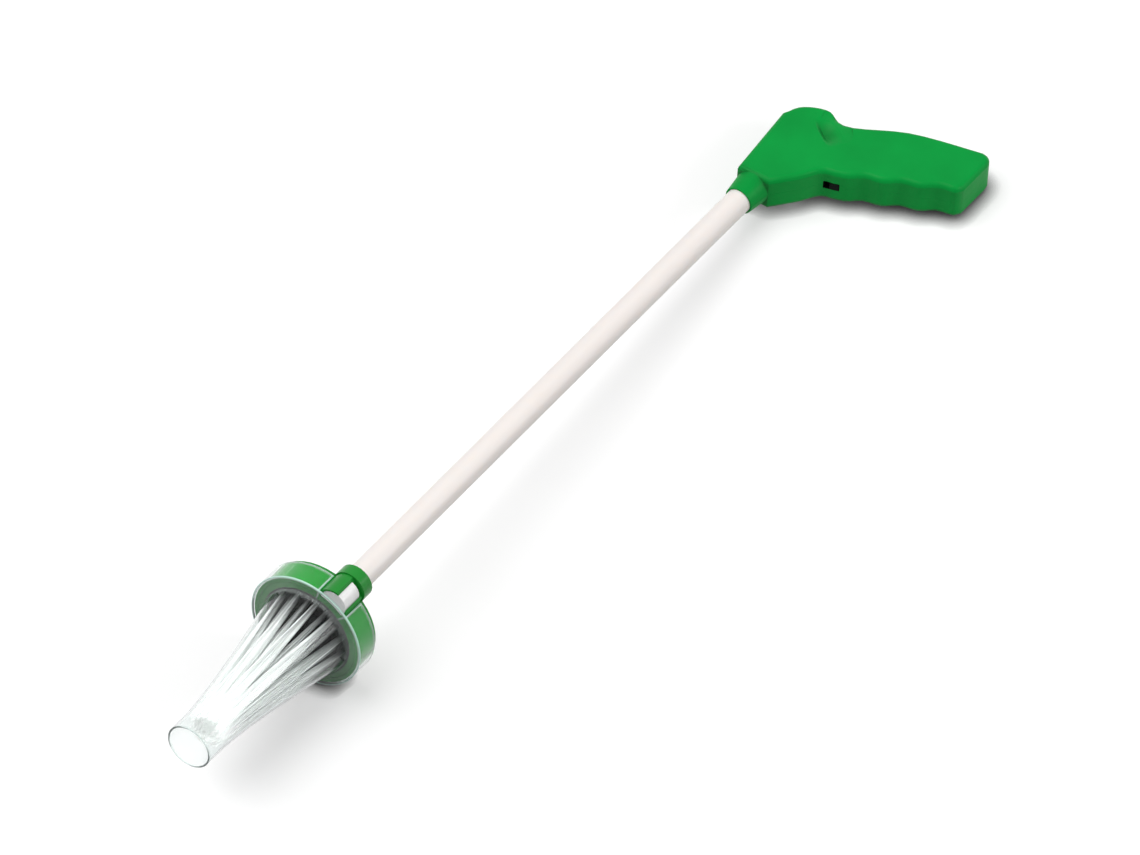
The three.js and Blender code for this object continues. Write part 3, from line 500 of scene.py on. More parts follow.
@dataclass(frozen=True)
class Finish:
    """A material: what it is and how its surface was made.

    Attributes:
        name: The real material and how it was made.
        colour: The colour of most of the surface.
        drift_colour: The colour that it drifts to in patches.
        drift: The size of those patches, in millimetres.
        grain: The size of the surface's grain, in millimetres.
        depth: The grain's depth, in millimetres.
        roughness: The lowest and highest roughness, which follow the patches.
        stretch: How many times longer the grain and patches are along the tool than across it.
        shadow: The share of a lamp's light that the piece holds back.
        hollow: How near its own surfaces must lie to get a painted shade in its colour, in millimetres, or
            0 for not at all.
        painted_shade_colour: The colour that this painted shade darkens to where it is deepest.
        shader: The shader's further constant inputs.
        PAINTED_SHADE_POWER: How steeply that painted shade deepens.
        PATCHES: The values of the pattern between which the roughness drifts.
        STOPS: The values between which the colour drifts.
        DETAIL: The detail of the patches and of the grain.
    """

    name: str
    colour: str
    drift_colour: str
    drift: float
    grain: float
    depth: float
    roughness: tuple[float, float]
    stretch: float = 1.0
    shadow: float = 1.0
    hollow: float = 0.0
    painted_shade_colour: str = "#000000"
    shader: Mapping[str, object] = field(default_factory=dict)

    PAINTED_SHADE_POWER: ClassVar[float] = 2.5
    PATCHES: ClassVar[tuple[float, float]] = (0.3, 0.7)
    STOPS: ClassVar[tuple[float, float]] = (0.35, 0.7)
    DETAIL: ClassVar[tuple[float, float]] = (3.0, 2.0)

    def build(self, axes: Axes) -> bpy.types.Material:
        """Makes the material.

        Args:
            axes: The axes that the grain follows.

        Returns:
            The material.
        """
        material = bpy.data.materials.new(self.name)
        material.use_nodes = True
        tree = material.node_tree
        shader = tree.nodes["Principled BSDF"]
        place = add_node(tree, "ShaderNodeTexCoord")
        along = add_node(
            tree,
            "ShaderNodeMapping",
            {
                "Vector": place.outputs["Object"],
                "Rotation": axes.matrix.to_euler(),
                "Scale": (self.stretch, 1.0, 1.0),
            },
            {"vector_type": "TEXTURE"},
        )
        patches, grain = (
            add_node(
                tree,
                "ShaderNodeTexNoise",
                {"Vector": along.outputs[0], "Scale": 1 / (size * MM), "Detail": detail},
            )
            for size, detail in zip((self.drift, self.grain), self.DETAIL, strict=True)
        )
        bump = add_node(
            tree,
            "ShaderNodeBump",
            {"Height": grain.outputs[0], "Distance": self.depth * MM, "Strength": 1.0},
        )
        reach = dict(enumerate((*self.PATCHES, *self.roughness), 1))
        polish = add_node(tree, "ShaderNodeMapRange", {"Value": patches.outputs[0], **reach})
        tree.links.new(self.colours(tree, patches.outputs[0]), shader.inputs["Base Color"])
        tree.links.new(polish.outputs[0], shader.inputs["Roughness"])
        tree.links.new(bump.outputs[0], shader.inputs["Normal"])
        for name, value in self.shader.items():
            shader.inputs[name].default_value = value
        if self.shadow < 1.0:
            ray = add_node(tree, "ShaderNodeLightPath")
            held = add_node(
                tree,
                "ShaderNodeMapRange",
                {"Value": ray.outputs["Is Shadow Ray"], 3: 1.0, 4: self.shadow},
            )
            tree.links.new(held.outputs[0], shader.inputs["Alpha"])
        return material

    def colours(self, tree: bpy.types.NodeTree, patches: bpy.types.NodeSocket) -> bpy.types.NodeSocket:
        """Adds the nodes for the colour.

        Args:
            tree: The material's tree.
            patches: The patches that the colour drifts in, from 0 to 1.

        Returns:
            The colour's socket.
        """
        ramp = add_node(tree, "ShaderNodeValToRGB", {"Fac": patches})
        for stop, place, colour in zip(
            ramp.color_ramp.elements, self.STOPS, (self.colour, self.drift_colour), strict=True
        ):
            stop.position = place
            stop.color = linear(colour)
        if not self.hollow:
            return ramp.outputs[0]
        # Painted shade: the colour darkens towards painted_shade_colour where the piece's own surfaces lie
        # close together
        mix = add_node(
            tree,
            "ShaderNodeMix",
            {
                0: painted_near_shade(tree, self.hollow, self.PAINTED_SHADE_POWER, own=True),
                6: linear(self.painted_shade_colour),
                7: ramp.outputs[0],
            },
            {"data_type": "RGBA"},
        )
        return mix.outputs[2]


@dataclass(frozen=True)
class StrandFinish(Finish):
    """A material for strands, whose colour runs from root to tip.

    Attributes:
        painted_root_shade: The nearly black colour painted at the root as shade, where the tuft shades
            itself.
        painted_root_shade_reach: The share of its length after which the lightest lock's painted root
            shade has cleared, and how much later the greyest and the inner ones' has.
        lock_colour: The colour of the greyest locks.
        painted_tip_glow: How brightly the cut ends glow by themselves: a painted light, set as emission.
        GREY: The shares of the length between which a grey lock clears.
        GREY_LEFT: The share of its grey that it keeps.
        TIP: The share of the length from which that painted glow starts.
    """

    painted_root_shade: str = "#FFFFFF"
    painted_root_shade_reach: tuple[float, float, float] = (0.2, 0.24, 0.26)
    lock_colour: str = "#FFFFFF"
    painted_tip_glow: float = 0.15

    GREY: ClassVar[tuple[float, float]] = (0.1, 0.75)
    GREY_LEFT: ClassVar[float] = 0.12
    TIP: ClassVar[float] = 0.88

    def colours(self, tree: bpy.types.NodeTree, patches: bpy.types.NodeSocket) -> bpy.types.NodeSocket:
        """Adds the nodes for the colour, whose painted shade clears from the root on, and which differs
        from lock to lock.

        Args:
            tree: The material's tree.
            patches: The patches that the colour drifts in, from 0 to 1.

        Returns:
            The colour's socket.
        """
        along, tone, inside = (
            add_node(tree, "ShaderNodeAttribute", settings={"attribute_name": name}).outputs["Fac"]
            for name in ("along", "tone", "inside")
        )
        first, last = self.GREY
        grey = add_node(
            tree, "ShaderNodeMapRange", {"Value": along, 1: first, 2: last, 3: 1.0, 4: self.GREY_LEFT}
        )
        share = add_node(
            tree, "ShaderNodeMath", {0: tone, 1: grey.outputs[0]}, {"operation": "MULTIPLY"}
        )
        locks = add_node(
            tree,
            "ShaderNodeMix",
            {0: share.outputs[0], 6: super().colours(tree, patches), 7: linear(self.lock_colour)},
            {"data_type": "RGBA"},
        )
        # Painted shade at the root, which reaches further along greyer locks and along the inner row
        reach: bpy.types.NodeSocket | float = self.painted_root_shade_reach[0]
        for cause, later in zip((tone, inside), self.painted_root_shade_reach[1:], strict=True):
            further = add_node(
                tree, "ShaderNodeMath", {0: cause, 1: later, 2: reach}, {"operation": "MULTIPLY_ADD"}
            )
            reach = further.outputs[0]
        clear = add_node(tree, "ShaderNodeMapRange", {"Value": along, 1: 0.0, 2: reach})
        # Painted light: the strands' cut ends glow by themselves
        glow = add_node(
            tree, "ShaderNodeMapRange", {"Value": along, 1: self.TIP, 2: 1.0, 4: self.painted_tip_glow}
        )
        shader = tree.nodes["Principled BSDF"]
        shader.inputs["Emission Color"].default_value = WHITE
        tree.links.new(glow.outputs[0], shader.inputs["Emission Strength"])
        mix = add_node(
            tree,
            "ShaderNodeMix",
            {0: clear.outputs[0], 6: linear(self.painted_root_shade), 7: locks.outputs[2]},
            {"data_type": "RGBA"},
        )
        return mix.outputs[2]


@dataclass(frozen=True)
class RimmedFinish(Finish):
    """A clear material with a painted highlight on its rims, which are made pale and less clear.

    Attributes:
        rim_highlight_colour: The colour of the painted highlight on the rims.
        rim_highlight_scatter: The share of the light that a rim scatters for that painted highlight.
        tint: The colour that is left of white after a way of tint_depth through the wall.
        tint_depth: That way, in millimetres.
    """

    rim_highlight_colour: str = "#FFFFFF"
    rim_highlight_scatter: float = 0.5
    tint: str = "#FFFFFF"
    tint_depth: float = 10.0

    def colours(self, tree: bpy.types.NodeTree, patches: bpy.types.NodeSocket) -> bpy.types.NodeSocket:
        """Adds the nodes for the colour, paints a highlight on the rims, clears the rest and tints the
        light on its way.

        Args:
            tree: The material's tree.
            patches: The patches that the colour drifts in, from 0 to 1.

        Returns:
            The colour's socket.
        """
        keep = [1 + math.log(part) for part in linear(self.tint)[:3]]
        body = add_node(
            tree,
            "ShaderNodeVolumeAbsorption",
            {"Color": (*keep, 1.0), "Density": 1 / (self.tint_depth * MM)},
        )
        tree.links.new(body.outputs[0], tree.nodes["Material Output"].inputs["Volume"])
        # Painted highlight: the marked rims turn pale and let less light through
        rim = add_node(tree, "ShaderNodeAttribute", settings={"attribute_name": "rim"}).outputs["Fac"]
        clear = add_node(tree, "ShaderNodeMapRange", {"Value": rim, 3: 1.0, 4: 1.0 - self.rim_highlight_scatter})
        tree.links.new(clear.outputs[0], tree.nodes["Principled BSDF"].inputs["Transmission Weight"])
        mix = add_node(
            tree,
            "ShaderNodeMix",
            {0: rim, 6: super().colours(tree, patches), 7: linear(self.rim_highlight_colour)},
            {"data_type": "RGBA"},
        )
        return mix.outputs[2]


@dataclass(frozen=True)
class PaperFinish(Finish):
    """The stage's paper, which looks whiter than the light that it throws on the pieces.

    Attributes:
        thrown_back: The colour that lights the pieces from below.
        backlight: The share of white that the paper shows by itself, so that shadows stay pale.
        fade: The distances from the middle over which that share grows to 1, in millimetres.
        painted_shadow_reach: How near a piece the paper gets a painted shadow, in millimetres.
        painted_shadow_power: How steeply that painted shadow deepens.
    """

    thrown_back: str = "#FFFFFF"
    backlight: float = 0.5
    fade: tuple[float, float] = (450.0, 1500.0)
    painted_shadow_reach: float = 10.0
    painted_shadow_power: float = 2.0

    def colours(self, tree: bpy.types.NodeTree, patches: bpy.types.NodeSocket) -> bpy.types.NodeSocket:
        """Adds the nodes for the colour, which differs for the rays that are seen.

        Args:
            tree: The material's tree.
            patches: The patches that the colour drifts in, from 0 to 1.

        Returns:
            The colour's socket.
        """
        seen = seen_rays(tree)
        shader = tree.nodes["Principled BSDF"]
        shader.inputs["Emission Color"].default_value = WHITE
        place = add_node(tree, "ShaderNodeTexCoord")
        away = add_node(
            tree, "ShaderNodeVectorMath", {0: place.outputs["Object"]}, {"operation": "LENGTH"}
        )
        near, far = (distance * MM for distance in self.fade)
        white = add_node(
            tree,
            "ShaderNodeMapRange",
            {"Value": away.outputs["Value"], 1: near, 2: far, 3: self.backlight, 4: 1.0},
        )
        # Painted shadow: near the pieces the paper's colour and glow are darkened
        painted_shade = painted_near_shade(tree, self.painted_shadow_reach, self.painted_shadow_power, own=False)
        painted_shadow_glow = add_node(
            tree, "ShaderNodeMath", {0: white.outputs[0], 1: painted_shade}, {"operation": "MULTIPLY"}
        )
        painted_shadow_colour = add_node(
            tree,
            "ShaderNodeMix",
            {0: painted_shade, 6: BLACK, 7: super().colours(tree, patches)},
            {"data_type": "RGBA"},
        )
        glow = add_node(
            tree, "ShaderNodeMath", {0: seen, 1: painted_shadow_glow.outputs[0]}, {"operation": "MULTIPLY"}
        )
        tree.links.new(glow.outputs[0], shader.inputs["Emission Strength"])
        mix = add_node(
            tree,
            "ShaderNodeMix",
            {0: seen, 6: linear(self.thrown_back), 7: painted_shadow_colour.outputs[2]},
            {"data_type": "RGBA"},
        )
        return mix.outputs[2]


# Satin green with a fine spark-eroded grain, drawn coarser than its 0.1 mm so that it shows
HANDLE_ABS = Finish(
    name="Green ABS, moulded in a spark-eroded tool",
    colour="#009B3E",
    drift_colour="#009039",
    drift=38.0,
    grain=0.6,
    depth=0.012,
    roughness=(0.36, 0.46),
    # Painted shade: creases and recesses darken to a deep green
    hollow=9.0,
    painted_shade_colour="#143C1C",
    shader={"IOR": 1.53, "Specular IOR Level": 0.09},
)
# A lighter green with a bright gloss and the slight waves of a polished mould
HEAD_ABS = Finish(
    name="Green ABS, moulded in a polished tool",
    colour="#198C2D",
    drift_colour="#158428",
    drift=22.0,
    grain=7.0,
    depth=0.02,
    roughness=(0.16, 0.26),
    shader={"IOR": 1.53, "Specular IOR Level": 0.22, "Coat Weight": 0.03, "Coat Roughness": 0.1},
)
# Warm off-white with faint die lines along the tube
TUBE_PVC = Finish(
    name="Off-white PVC, extruded",
    colour="#F5EFEB",
    drift_colour="#F0E8E4",
    drift=14.0,
    grain=1.2,
    depth=0.006,
    roughness=(0.3, 0.42),
    stretch=40.0,
    shader={"IOR": 1.53, "Subsurface Weight": 0.7, "Subsurface Radius": (0.012, 0.011, 0.01)},
)
# Near black with a soft sheen
BLACK_PP = Finish(
    name="Black polypropylene, moulded",
    colour="#060A07",
    drift_colour="#0B100C",
    drift=12.0,
    grain=0.8,
    depth=0.01,
    roughness=(0.34, 0.46),
    shader={"IOR": 1.49, "Specular IOR Level": 0.05},
)
# Clean white with a waxy gloss
WHITE_POM = Finish(
    name="White acetal, moulded",
    colour="#FCFCFA",
    drift_colour="#F6F6F3",
    drift=10.0,
    grain=1.0,
    depth=0.006,
    roughness=(0.22, 0.3),
    shader={"IOR": 1.48, "Subsurface Weight": 0.8, "Subsurface Radius": (0.008, 0.008, 0.008)},
)
# Cold bright metal with cloudy plating
ZINC_STEEL = Finish(
    name="Steel, zinc plated",
    colour="#C6CACC",
    drift_colour="#AEB4B8",
    drift=4.0,
    grain=0.5,
    depth=0.006,
    roughness=(0.2, 0.36),
    stretch=6.0,
    shader={"Metallic": 1.0},
)
# Colourless and glassy, with weak flow waves and a painted highlight on the rims, and
# darker where the wall is seen along its length. Its IOR is below the real 1.59, for weaker reflections
CLEAR_PS = RimmedFinish(
    name="Clear polystyrene, moulded",
    colour="#FCFEFE",
    drift_colour="#F9FDFC",
    drift=30.0,
    grain=24.0,
    depth=0.04,
    roughness=(0.02, 0.06),
    shadow=0.06,
    shader={"IOR": 1.22},
    rim_highlight_colour="#D2F4EA",
    rim_highlight_scatter=0.88,
    tint="#ECEEEE",
    tint_depth=10.0,
)
# Milky strands that let light through, with a nearly black painted shade at the root, where they
# shade each other, and a painted glow at their cut ends
NYLON_STRANDS = StrandFinish(
    name="Translucent nylon, drawn",
    colour="#FAFBFA",
    drift_colour="#EEF1EF",
    drift=9.0,
    grain=1.0,
    depth=0.004,
    roughness=(0.3, 0.42),
    stretch=12.0,
    shadow=0.035,
    shader={"IOR": 1.53, "Subsurface Weight": 0.75, "Subsurface Radius": (0.002, 0.002, 0.002)},
    painted_root_shade="#181A19",
    lock_colour="#ADB1AF",
)
# Matt paper white that takes a soft shadow, with a painted shadow close to the pieces,
# and throws less light back than it shows
FLOOR_PAPER = PaperFinish(
    name="White paper, matt",
    colour="#CDCDCD",
    drift_colour="#CBCBCB",
    drift=60.0,
    grain=1.5,
    depth=0.004,
    roughness=(0.7, 0.8),
    shader={"Specular IOR Level": 0.0},
    thrown_back="#9C9C9C",
    backlight=0.45,
)


class Palette:
    """The materials, one for each of the record's slots."""

    FINISHES: Mapping[Slot, Finish] = {
        Slot.HANDLE_GREEN: HANDLE_ABS,
        Slot.HEAD_GREEN: HEAD_ABS,
        Slot.TUBE_WHITE: TUBE_PVC,
        Slot.BLACK: BLACK_PP,
        Slot.WHITE: WHITE_POM,
        Slot.STEEL: ZINC_STEEL,
        Slot.NYLON: NYLON_STRANDS,
        Slot.CLEAR: CLEAR_PS,
    }

    def __init__(self, axes: Axes) -> None:
        """Builds the materials.

        Args:
            axes: The axes that their grain follows.
        """
        self._materials = {slot: finish.build(axes) for slot, finish in self.FINISHES.items()}

    def __getitem__(self, slot: Slot) -> bpy.types.Material:
        """Gives a slot's material."""
        return self._materials[slot]


@dataclass(frozen=True)
class Piece:
    """A visual piece: its body, its material slot and the CAD nodes that it stands for."""

    name: str
    body: Body
    slot: Slot
    nodes: tuple[str, ...]

    def place(self, mesh: bpy.types.Mesh, palette: Palette, crease: float = 32.0) -> bpy.types.Object:
        """Hands a finished mesh over to the frame.

        Args:
            mesh: The mesh, in the frame's metres.
            palette: The materials.
            crease: The angle in degrees from which an edge stays sharp.

        Returns:
            The piece's object.
        """
        mesh.name = self.name
        mesh.materials.clear()
        mesh.materials.append(palette[self.slot])
        mesh.polygons.foreach_set("material_index", [0] * len(mesh.polygons))
        mesh.polygons.foreach_set("use_smooth", [True] * len(mesh.polygons))
        mesh.set_sharp_from_angle(angle=math.radians(crease))
        obj = bpy.data.objects.new(self.name, mesh)
        bpy.context.scene.collection.objects.link(obj)
        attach(obj, self.body.value)
        if self.nodes:
            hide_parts(*self.nodes)
        return obj


def welded_copy(node: str) -> bmesh.types.BMesh:
    """Copies a CAD mesh as one skin.

    Args:
        node: The CAD node.

    Returns:
        The skin, with its doubles merged.
    """
    skin = bmesh.new()
    skin.from_mesh(frame["nodes"][node].data)
    bmesh.ops.remove_doubles(skin, verts=skin.verts, dist=DOUBLE * MM)
    return skin


def whole_faces(skin: bmesh.types.BMesh) -> bpy.types.Mesh:
    """Makes a mesh of a skin with whole flat faces, so that its edges can be rounded.

    Args:
        skin: The skin, which is used up.

    Returns:
        The new mesh.
    """
    bmesh.ops.dissolve_limit(
        skin,
        angle_limit=math.radians(FLAT),
        verts=skin.verts,
        edges=skin.edges,
        use_dissolve_boundaries=False,
    )
    return as_mesh(skin)


def as_mesh(skin: bmesh.types.BMesh) -> bpy.types.Mesh:
    """Makes a mesh of a skin.

    Args:
        skin: The skin, which is used up.

    Returns:
        The new mesh.
    """
    mesh = bpy.data.meshes.new("skin")
    skin.to_mesh(mesh)
    skin.free()
    return mesh


def cleaned(mesh: bpy.types.Mesh, sliver: float) -> bmesh.types.BMesh:
    """Takes the slivers that a cut leaves out of a mesh.

    Args:
        mesh: The mesh.
        sliver: The width of the slivers, in the mesh's own units.

    Returns:
        A clean skin of it.
    """
    skin = bmesh.new()
    skin.from_mesh(mesh)
    bmesh.ops.remove_doubles(skin, verts=skin.verts, dist=sliver)
    bmesh.ops.dissolve_degenerate(skin, dist=sliver, edges=skin.edges)
    return skin


def cut_away(mesh: bpy.types.Mesh, cutter: bpy.types.Mesh) -> bmesh.types.BMesh:
    """Cuts one closed mesh out of another.

    Args:
        mesh: The mesh that is cut.
        cutter: The mesh that is taken away.

    Returns:
        The skin that is left.
    """
    blank, tool = (bpy.data.objects.new(m.name, m) for m in (mesh, cutter))
    for obj in (blank, tool):
        bpy.context.scene.collection.objects.link(obj)
    cut = blank.modifiers.new("Cut", "BOOLEAN")
    cut.operation = "DIFFERENCE"
    cut.solver = "EXACT"
    cut.object = tool
    left = bpy.data.meshes.new_from_object(blank.evaluated_get(bpy.context.evaluated_depsgraph_get()))
    for obj in (blank, tool):
        bpy.data.objects.remove(obj)
    return cleaned(left, SLIVER)


def round_edges(obj: bpy.types.Object, width: float, angle: float = 38.0) -> None:
    """Breaks a piece's sharp edges, and keeps its flat faces flat.

    Args:
        obj: The piece.
        width: The width of the broken edge in millimetres.
        angle: The least angle of an edge that is broken, in degrees.
    """
    bevel = obj.modifiers.new("Broken edges", "BEVEL")
    bevel.width = width * MM
    bevel.segments = 2
    bevel.limit_method = "ANGLE"
    bevel.angle_limit = math.radians(angle)
    bevel.harden_normals = False
    flat_faces(obj)


def flat_faces(obj: bpy.types.Object) -> None:
    """Keeps a piece's flat faces flat beside its rounded ones."""
    normals = obj.modifiers.new("Flat faces", "WEIGHTED_NORMAL")
    normals.keep_sharp = True


def join_rows(
    skin: bmesh.types.BMesh,
    here: Sequence[bmesh.types.BMVert],
    there: Sequence[bmesh.types.BMVert],
    closed: bool = True,
) -> None:
    """Joins two rows of points by faces.

    Args:
        skin: The skin, which is changed.
        here: A row of points.
        there: The next row, with as many points.
        closed: Whether the rows run all round.
    """
    count = len(here)
    for step in range(count if closed else count - 1):
        after = (step + 1) % count
        skin.faces.new((here[step], here[after], there[after], there[step]))


def turned(profile: Sequence[tuple[float, float]], sides: int) -> bpy.types.Mesh:
    """Turns a closed profile round the X axis.

    Args:
        profile: Points of place along X and radius, in order round the section.
        sides: The steps in a full turn.

    Returns:
        A closed mesh in the profile's own units.
    """
    skin = bmesh.new()
    rings = []
    for x, radius in profile:
        angles = (2 * math.pi * step / sides for step in range(sides))
        rings.append([skin.verts.new((x, radius * math.sin(a), radius * math.cos(a))) for a in angles])
    for here, there in zip(rings, rings[1:] + rings[:1], strict=True):
        join_rows(skin, here, there)
    return outward(skin)


def outward(skin: bmesh.types.BMesh) -> bpy.types.Mesh:
    """Turns a closed skin's faces outwards and makes a mesh of it."""
    bmesh.ops.recalc_face_normals(skin, faces=skin.faces)
    return as_mesh(skin)


class GrowthTree:
    """A geometry tree with named inputs, which is run once and left as a plain mesh."""

    def __init__(self, name: str, inputs: Mapping[str, str]) -> None:
        """Starts the tree.

        Args:
            name: The tree's name.
            inputs: For each named input its socket type.
        """
        self.tree = bpy.data.node_groups.new(name, "GeometryNodeTree")
        face = self.tree.interface
        face.new_socket("Geometry", in_out="INPUT", socket_type="NodeSocketGeometry")
        self._ids = {
            key: face.new_socket(key, in_out="INPUT", socket_type=kind).identifier
            for key, kind in inputs.items()
        }
        face.new_socket("Geometry", in_out="OUTPUT", socket_type="NodeSocketGeometry")
        self.inputs = self.tree.nodes.new("NodeGroupInput").outputs

    def add(
        self, kind: str, inputs: Mapping[str | int, object] | None = None, **settings: object
    ) -> bpy.types.NodeOutputs:
        """Adds a node and gives its outputs."""
        return add_node(self.tree, kind, inputs, settings).outputs

    def end(self, geometry: bpy.types.NodeSocket) -> None:
        """Realizes what was grown, sets its material and gives it out.

        Args:
            geometry: What was grown.
        """
        real = self.add("GeometryNodeRealizeInstances", {"Geometry": geometry})
        done = self.add(
            "GeometryNodeSetMaterial", {"Geometry": real[0], "Material": self.inputs["Material"]}
        )
        self.add("NodeGroupOutput", {"Geometry": done[0]})

    def grow(self, seedling: bpy.types.Mesh, values: Mapping[str, object]) -> bpy.types.Mesh:
        """Runs the tree on a mesh.

        Args:
            seedling: The mesh that the tree starts from.
            values: A value for each named input.

        Returns:
            The plain mesh that was grown.
        """
        obj = bpy.data.objects.new("seedling", seedling)
        bpy.context.scene.collection.objects.link(obj)
        modifier = obj.modifiers.new("Growth", "NODES")
        modifier.node_group = self.tree
        for key, value in values.items():
            modifier[self._ids[key]] = value
        depsgraph = bpy.context.evaluated_depsgraph_get()
        mesh = bpy.data.meshes.new_from_object(obj.evaluated_get(depsgraph))
        bpy.data.objects.remove(obj)
        return mesh


class Handle:
    """The pistol handle with its screws and the mechanism inside it."""

    HALVES = ("handle_half_upper", "handle_half_lower")
    STEEL = ("trigger_pivot_pin", "rod_clevis", "clevis_pin", "spring_collar", "spring_washer")
    SCREWS = ("housing_screw_barrel", "housing_screw_hump", "housing_screw_palm", "housing_screw_heel")

    def __init__(self, sizes: HandleSizes, axes: Axes) -> None:
        """Takes the handle's sizes and the tool's axes."""
        self.sizes = sizes
        self.axes = axes

    def build(self, palette: Palette) -> None:
        """Builds the handle.

        Args:
            palette: The materials.
        """
        for node in self.HALVES:
            half = Piece(f"{node}_shell", Body.HANDLE, Slot.HANDLE_GREEN, (node,))
            flat_faces(half.place(self._half(node), palette))
        lever = Piece("trigger_shape", Body.TRIGGER, Slot.BLACK, ("trigger_lever",))
        round_edges(lever.place(self._lever(), palette), self.sizes.pad_edge)
        # Painted shade: a black sheet on the slot's walls
        shade_liner = Piece("trigger_slot_shade_liner", Body.HANDLE, Slot.BLACK, ())
        shade_liner.place(self._shade_liner(), palette)
        keep_nodes(self.STEEL, palette[Slot.STEEL])
        self._spring(palette)
        self._screws(palette)

    def _half(self, node: str) -> bpy.types.Mesh:
        """Shapes a half: closes its parting line and gives its thumb scoop a steep crease.

        Args:
            node: The half's CAD node.

        Returns:
            The half's mesh, in the frame's metres.
        """
        s = self.sizes
        skin = welded_copy(node)
        bmesh.ops.transform(skin, matrix=self.axes.matrix.inverted(), verts=skin.verts)
        for vertex in skin.verts:
            if abs(vertex.co.z) < s.parting_reach:
                vertex.co.z = math.copysign(s.parting, vertex.co.z)
        self._fill_scoop(skin)
        side = 1.0 if max(vertex.co.z for vertex in skin.verts) > s.half_thick / 2 else -1.0
        mesh = whole_faces(cut_away(as_mesh(skin), self._crease_cutter(side)))
        mesh.transform(self.axes.matrix)
        return mesh

    def _fill_scoop(self, skin: bmesh.types.BMesh) -> None:
        """Fills the frame's plain scoop up to the faces round it.

        Args:
            skin: The half on the tool's axes, which is changed.
        """
        s = self.sizes
        turn = math.radians(s.scoop_turn)
        dished = set()
        for vertex in skin.verts:
            x, y = vertex.co.x - s.scoop[0], vertex.co.y - s.scoop[1]
            along = (x * math.cos(turn) + y * math.sin(turn)) / s.scoop_half[0]
            across = (x * math.sin(turn) - y * math.cos(turn)) / s.scoop_half[1]
            down = (s.half_thick - abs(vertex.co.z)) / s.scoop_half[2]
            if abs(along**2 + across**2 + down**2 - 1) < s.scoop_slack:
                dished.add(vertex)
        inside = [v for v in dished if all(set(face.verts) <= dished for face in v.link_faces)]
        for _ in range(s.scoop_rounds):
            for vertex in inside:
                around = [edge.other_vert(vertex).co.z for edge in vertex.link_edges]
                vertex.co.z = sum(around) / len(around)

    def _crease_cutter(self, side: float) -> bpy.types.Mesh:
        """Makes the body that cuts the crease: steep on one side, running out on the other.

        Args:
            side: 1 for the upper half and -1 for the lower.

        Returns:
            A closed mesh on the tool's axes.
        """
        s = self.sizes
        turn = math.radians(s.scoop_turn)
        ahead = Vector((math.cos(turn), math.sin(turn), 0.0))
        aside = Vector((-math.sin(turn), math.cos(turn), 0.0))
        middle = Vector((*s.scoop, 0.0)) + s.crease[0] * ahead - s.crease[1] * aside
        rows, columns = s.crease_steps
        width = s.crease_wall + s.crease_floor
        across = [width * (column / columns) ** s.crease_crowd for column in range(columns + 1)]
        skin = bmesh.new()
        floor, roof = [], []
        for row in range(rows + 1):
            along = 2 * row / rows - 1
            fade = math.cos(math.pi / 2 * along) ** 2
            depths = []
            for out in across:
                share = out / s.crease_wall if out < s.crease_wall else (width - out) / s.crease_floor
                depths.append(s.crease_depth * fade * share * share * (3 - 2 * share) - s.crease_lift)
            spots = [middle + along * s.crease_half * ahead + out * aside for out in across]
            for line, levels in ((floor, depths), (roof, [-s.crease_roof] * len(depths))):
                line.append(
                    [
                        skin.verts.new((p.x, p.y, side * (s.half_thick - depth)))
                        for p, depth in zip(spots, levels, strict=True)
                    ]
                )
        for grid in (floor, roof):
            for here, there in zip(grid, grid[1:]):
                join_rows(skin, here, there, closed=False)
        rims = [
            [line[0] for line in (floor, roof)],
            [line[-1] for line in (floor, roof)],
            [[spots[0] for spots in line] for line in (floor, roof)],
            [[spots[-1] for spots in line] for line in (floor, roof)],
        ]
        for low, high in rims:
            join_rows(skin, low, high, closed=False)
        return outward(skin)

    def _lever(self) -> bpy.types.Mesh:
        """Shapes the trigger: its pad follows the grip's front, and a black plate closes the slot behind
        it and stands in for the shade in the hollow there.

        Returns:
            The trigger's mesh, in the frame's metres.
        """
        s = self.sizes
        skin = welded_copy("trigger_lever")
        bmesh.ops.transform(skin, matrix=self.axes.matrix.inverted(), verts=skin.verts)
        front, level, slope = s.pad_front
        for vertex in skin.verts:
            if vertex.co.x > front:
                vertex.co.x = front + slope * (vertex.co.y - level)
        self._block(skin, s.shade_plate)
        mesh = whole_faces(skin)
        mesh.transform(self.axes.matrix)
        return mesh

    def _shade_liner(self) -> bpy.types.Mesh:
        """Makes the black liner of the trigger's slot: a painted shade on its walls.

        Returns:
            The liner's mesh, in the frame's metres.
        """
        s = self.sizes
        (back, front), *sides = s.slot
        slope = s.pad_front[2]
        skin = bmesh.new()
        rings = []
        for inset in (0.0, s.shade_liner_wall):
            (y0, y1), (z0, z1) = ((low + inset, high - inset) for low, high in sides)
            corners = ((y0, z0), (y1, z0), (y1, z1), (y0, z1))
            for x in (back, front):
                lean = slope if x == front else 0.0
                rings.append([skin.verts.new((x + lean * (y - s.pad_front[1]), y, z)) for y, z in corners])
        out_back, out_front, in_back, in_front = rings
        order = (out_back, out_front, in_front, in_back, out_back)
        for here, there in zip(order, order[1:]):
            join_rows(skin, here, there)
        mesh = outward(skin)
        mesh.transform(self.axes.matrix)
        return mesh

    @staticmethod
    def _block(skin: bmesh.types.BMesh, reach: Sequence[tuple[float, float]]) -> None:
        """Adds a block to a skin.

        Args:
            skin: The skin, which is changed.
            reach: The block's lowest and highest X, Y and Z.
        """
        size = Matrix.Diagonal((*(high - low for low, high in reach), 1.0))
        middle = Matrix.Translation([(low + high) / 2 for low, high in reach])
        bmesh.ops.create_cube(skin, size=1.0, matrix=middle @ size)

